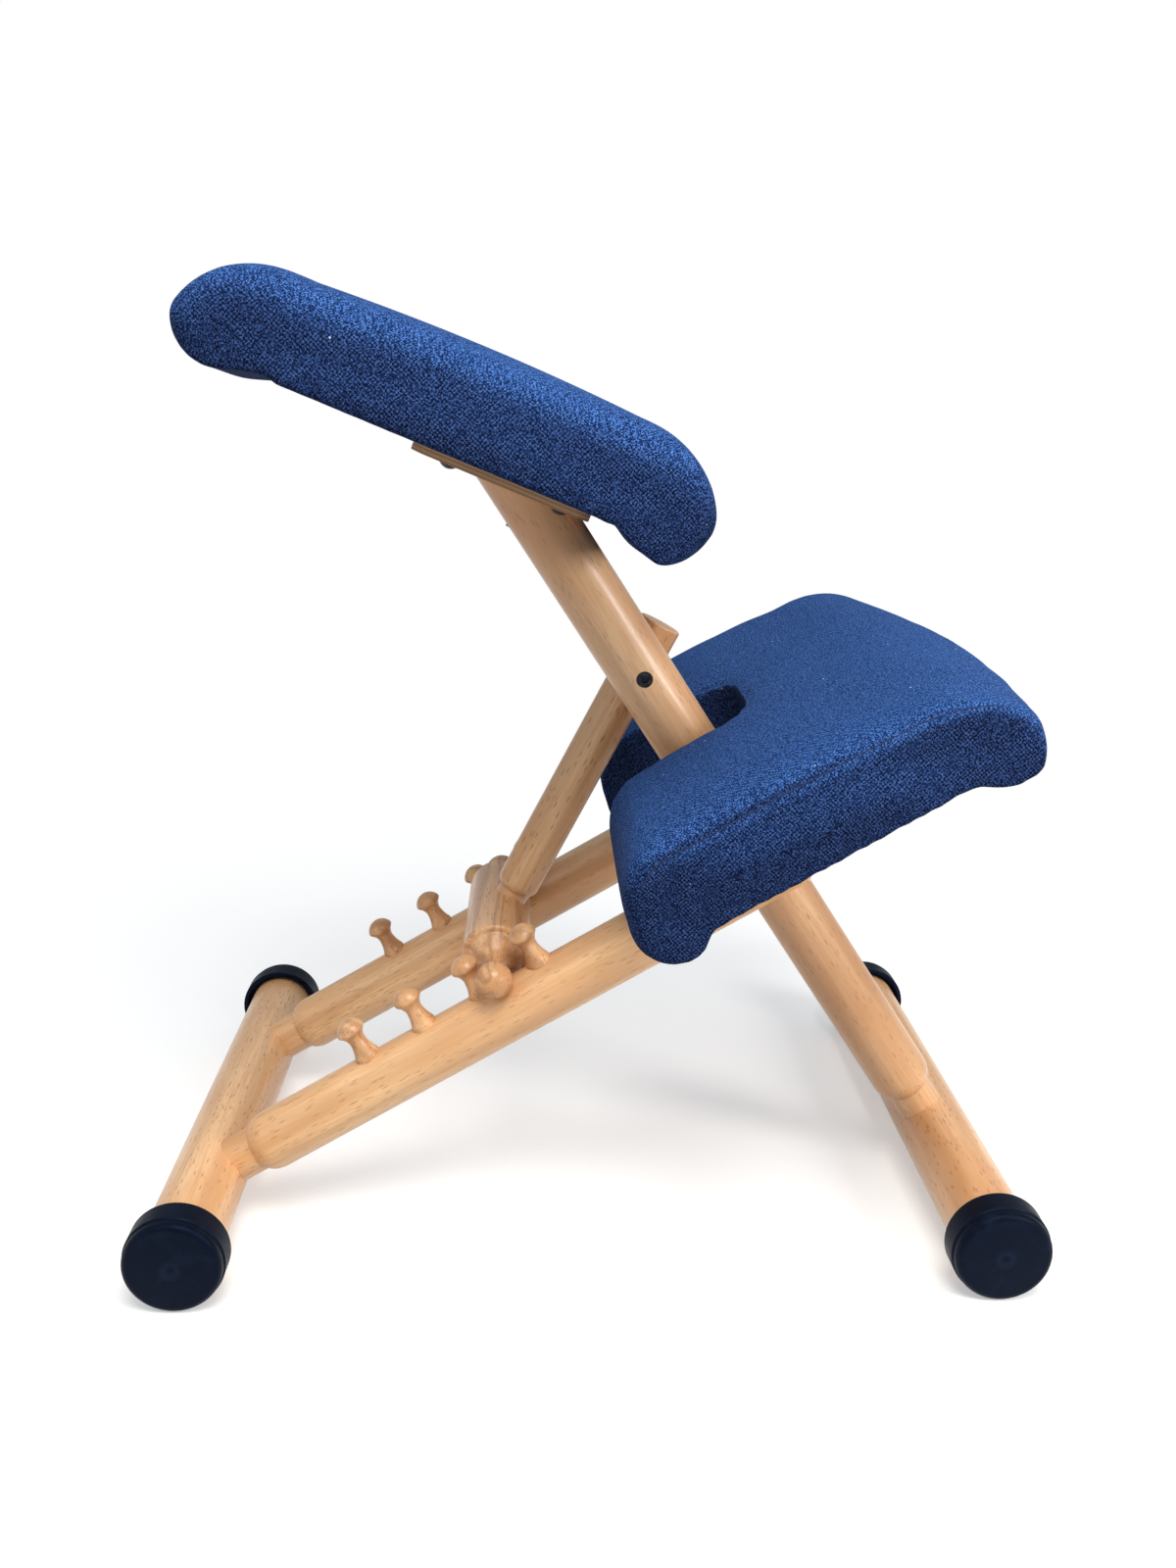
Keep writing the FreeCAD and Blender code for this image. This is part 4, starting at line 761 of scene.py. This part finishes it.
def finishKneePad(piece):
    seam = kneeSeams
    lines = []
    y = kneePad["halfWidth"] - seam["inFromSide"]
    for hand, side in (("Right", -1), ("Left", 1)):
        raised = []
        for k in range(seam["points"]):
            s = seam["from"] + (seam["to"] - seam["from"]) * k / (seam["points"] - 1)
            fall = max(0.0, s - seam["fallFrom"]) ** 2 * seam["fall"]
            lead = max(0.0, seam["leadTo"] - s) ** 2 * seam["lead"]
            raised.append(railFrame @ (Vector((s, side * y, seam["height"] - fall - lead)) * mm))
        out = (railFrame.to_3x3() @ Vector((0, side, seam["lean"]))).normalized()
        line = surfaceLine(piece, raised, out)
        sewSeam(piece, line, seam)
        lines.append((f"kneeSeam{hand}", line, seam))
    seam = facingSeam
    plan = slotPlan(seam["inFromSlot"])[1:-1]
    ring = [railFrame @ (Vector((s, y, seam["height"])) * mm) for s, y in plan]
    steps = seam["between"]
    dense = [a.lerp(b, k / steps) for a, b in zip(ring, ring[1:]) for k in range(steps)]
    line = surfaceLine(piece, dense, railFrame.to_3x3() @ Vector((0, 0, 1)))
    sewSeam(piece, line, seam)
    lines.append(("slotSeam", line, seam))
    return [layThread(name, line, seam, piece) for name, line, seam in lines]


kneeCushion = makeKneePad()
kneeThreads = finishKneePad(kneeCushion)
kneeCushion.data.materials.append(crepeCloth)
smoothShade(kneeCushion)
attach(kneeCushion, "rail_frame")
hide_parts("knee_cushion")
for thread in kneeThreads:
    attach(thread, "rail_frame")
print("knee pad filled and sewn")

# seat, in the seat's frame: forward down the slope, square off the plate, units as for the knee pad
seatPad = {
    "halfWidth": 205.0, "corner": 22.0, "bow": 4.0, "crownDrop": 3.0, "topRound": 24.0, "bottomRound": 3.5,
    "flat": (-145.0, 43.0), "ends": (-213.0, 108.0), "base": 11.8, "top": 72.3,
    "held": (-145.0, 45.0, 203.0),
    "corners": [(-145, 11.8), (-163, 7.3), (-193, 2.8, -213, 23.8), (-201, 49.8, -152, 68.3),
                (-70, 72.3, 46, 70.3), (91, 55.3, 108, 31.8), (99, 6.8, 80, -5.7), (61, 0.8), (43, 11.8)],
    "voxel": 0.0045, "shrink": 0.0028, "swell": 0.0032, "pressure": 4.0, "stretch": 5.0, "fill": 0.85,
}


def seatSection(y):
    pad = seatPad
    out, depth = abs(y) / pad["halfWidth"], pad["halfWidth"] - abs(y)
    corner = standBack(depth, pad["corner"])
    bow = pad["bow"] * out ** 2
    lift = standBack(depth, pad["bottomRound"])
    drop = standBack(depth, pad["topRound"]) + pad["crownDrop"] * out ** 2
    rear, front = pad["ends"]
    base, top = pad["base"], pad["top"]

    def warp(along, height):
        if along < pad["flat"][0]:
            along = pushed(along, pad["flat"][0], rear, rear + corner + bow / 2)
        elif along > pad["flat"][1]:
            along = pushed(along, pad["flat"][1], front, front - corner - bow)
        if height > base:
            height = stretched(height, base, top, top - drop - lift)
        return along, y, height + lift

    return warp


def makeSeatPad():
    pad = seatPad
    piece = loftCushion("seatPad", pad, seatSection, seatFrame)
    remesh(piece, pad["voxel"])
    toSeat = seatFrame.inverted()

    def onPlate(place):
        return gripped(pad, *(toSeat @ place / mm))

    def reach(place):
        a, y, b = toSeat @ place / mm
        return pad["swell"] * tucked(pad, a, b)

    drawIn(piece, pad, onPlate)
    fillCushion(piece, pad, onPlate, reach)
    subdivide(piece)

    def settled(v, place, normal):
        a, y, b = toSeat @ place / mm
        return seatFrame @ (Vector((a, y, max(b, lowest(pad, a)))) * mm)

    moveVertices(piece, settled)
    return piece


seatCushion = makeSeatPad()
seatCushion.data.materials.append(crepeCloth)
smoothShade(seatCushion)
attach(seatCushion, "post_frame")
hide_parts("seat_cushion")
print("seat filled")

# floor, light and surroundings; lengths in metres, powers in watts
studio = {"floorHalf": 8.0, "paper": (0.8, 0.83), "bounce": 0.45, "lift": 0.36, "shadowReach": (0.42, 0.85),
          "ambient": 0.5, "sky": (0.86, 0.93, 1.0)}
lamps = {
    "keyLamp": {"place": (0.1, -1.0, 1.95), "aim": (0, 0, 0.25), "size": 1.1, "power": 30.0,
                "tint": (1.0, 0.97, 0.92)},
    "sideLamp": {"place": (1.2, -0.9, 0.8), "aim": (0.05, 0.0, 0.34), "size": 0.5, "power": 13.0,
                 "tint": (1.0, 0.95, 0.9)},
    "fillLamp": {"place": (-1.5, -0.9, 1.3), "aim": (0, 0, 0.2), "size": 1.2, "power": 4.0,
                 "tint": (1.0, 0.98, 0.95)},
}


def makeFloor():
    data = bpy.data.meshes.new("floor")
    half = studio["floorHalf"]
    corners = [(-half, -half, 0), (half, -half, 0), (half, half, 0), (-half, half, 0)]
    data.from_pydata(corners, [], [(0, 1, 2, 3)])
    floor = bpy.data.objects.new("floor", data)
    bpy.context.scene.collection.objects.link(floor)
    paper = Nodes("floorPaper")
    tree = paper.tree
    tree.nodes.remove(paper.shader)
    place = paper.add("TexCoord").outputs["Object"]
    grain = paper.add("TexNoise", {"Vector": place, "Scale": 3.0})
    low, high = studio["paper"]
    seen = paper.add("BsdfDiffuse", {"Color": paper.mix(grain.outputs["Fac"], (low,) * 3, (high,) * 3)})
    lift = paper.add("Emission", {"Color": (1, 1, 1, 1), "Strength": studio["lift"]})
    near = paper.add("AddShader", {0: seen.outputs[0], 1: lift.outputs[0]})
    away = paper.add("VectorMath", {0: place}, operation="LENGTH").outputs["Value"]
    plainWhite = paper.add("Emission", {"Color": (1, 1, 1, 1), "Strength": 1.0})
    fade = paper.span(away, *studio["shadowReach"])
    bright = paper.add("MixShader", {0: fade, 1: near.outputs[0], 2: plainWhite.outputs[0]})
    plain = paper.add("BsdfDiffuse", {"Color": (*(studio["bounce"],) * 3, 1)})
    path = paper.add("LightPath")
    inSight = paper.math("MAXIMUM", path.outputs["Is Camera Ray"], path.outputs["Is Glossy Ray"])
    inSight = paper.math("MAXIMUM", inSight, path.outputs["Is Transmission Ray"])
    blend = paper.add("MixShader", {0: inSight, 1: plain.outputs[0], 2: bright.outputs[0]})
    tree.links.new(blend.outputs[0], tree.nodes["Material Output"].inputs["Surface"])
    floor.data.materials.append(paper.material)


def makeWorld():
    world = bpy.data.worlds.new("studio")
    bpy.context.scene.world = world
    world.use_nodes = True
    tree = world.node_tree
    background = tree.nodes["Background"]
    background.inputs["Color"].default_value = (*studio["sky"], 1)
    background.inputs["Strength"].default_value = studio["ambient"]
    white = tree.nodes.new("ShaderNodeBackground")
    white.inputs["Strength"].default_value = 1.0
    white.inputs["Color"].default_value = (1, 1, 1, 1)
    path = tree.nodes.new("ShaderNodeLightPath")
    blend = tree.nodes.new("ShaderNodeMixShader")
    tree.links.new(path.outputs["Is Camera Ray"], blend.inputs[0])
    tree.links.new(background.outputs[0], blend.inputs[1])
    tree.links.new(white.outputs[0], blend.inputs[2])
    tree.links.new(blend.outputs[0], tree.nodes["World Output"].inputs["Surface"])


def makeLamp(name, made):
    lamp = bpy.data.lights.new(name, "AREA")
    lamp.shape, lamp.size, lamp.energy, lamp.color = "DISK", made["size"], made["power"], made["tint"]
    holder = bpy.data.objects.new(name, lamp)
    holder.location = made["place"]
    toward = Vector(made["aim"]) - Vector(made["place"])
    holder.rotation_euler = toward.to_track_quat("-Z", "Y").to_euler()
    bpy.context.scene.collection.objects.link(holder)


makeFloor()
makeWorld()
for lampName, lampValues in lamps.items():
    makeLamp(lampName, lampValues)
bpy.context.scene.view_settings.view_transform = "Standard"
print("floor and lamps placed")
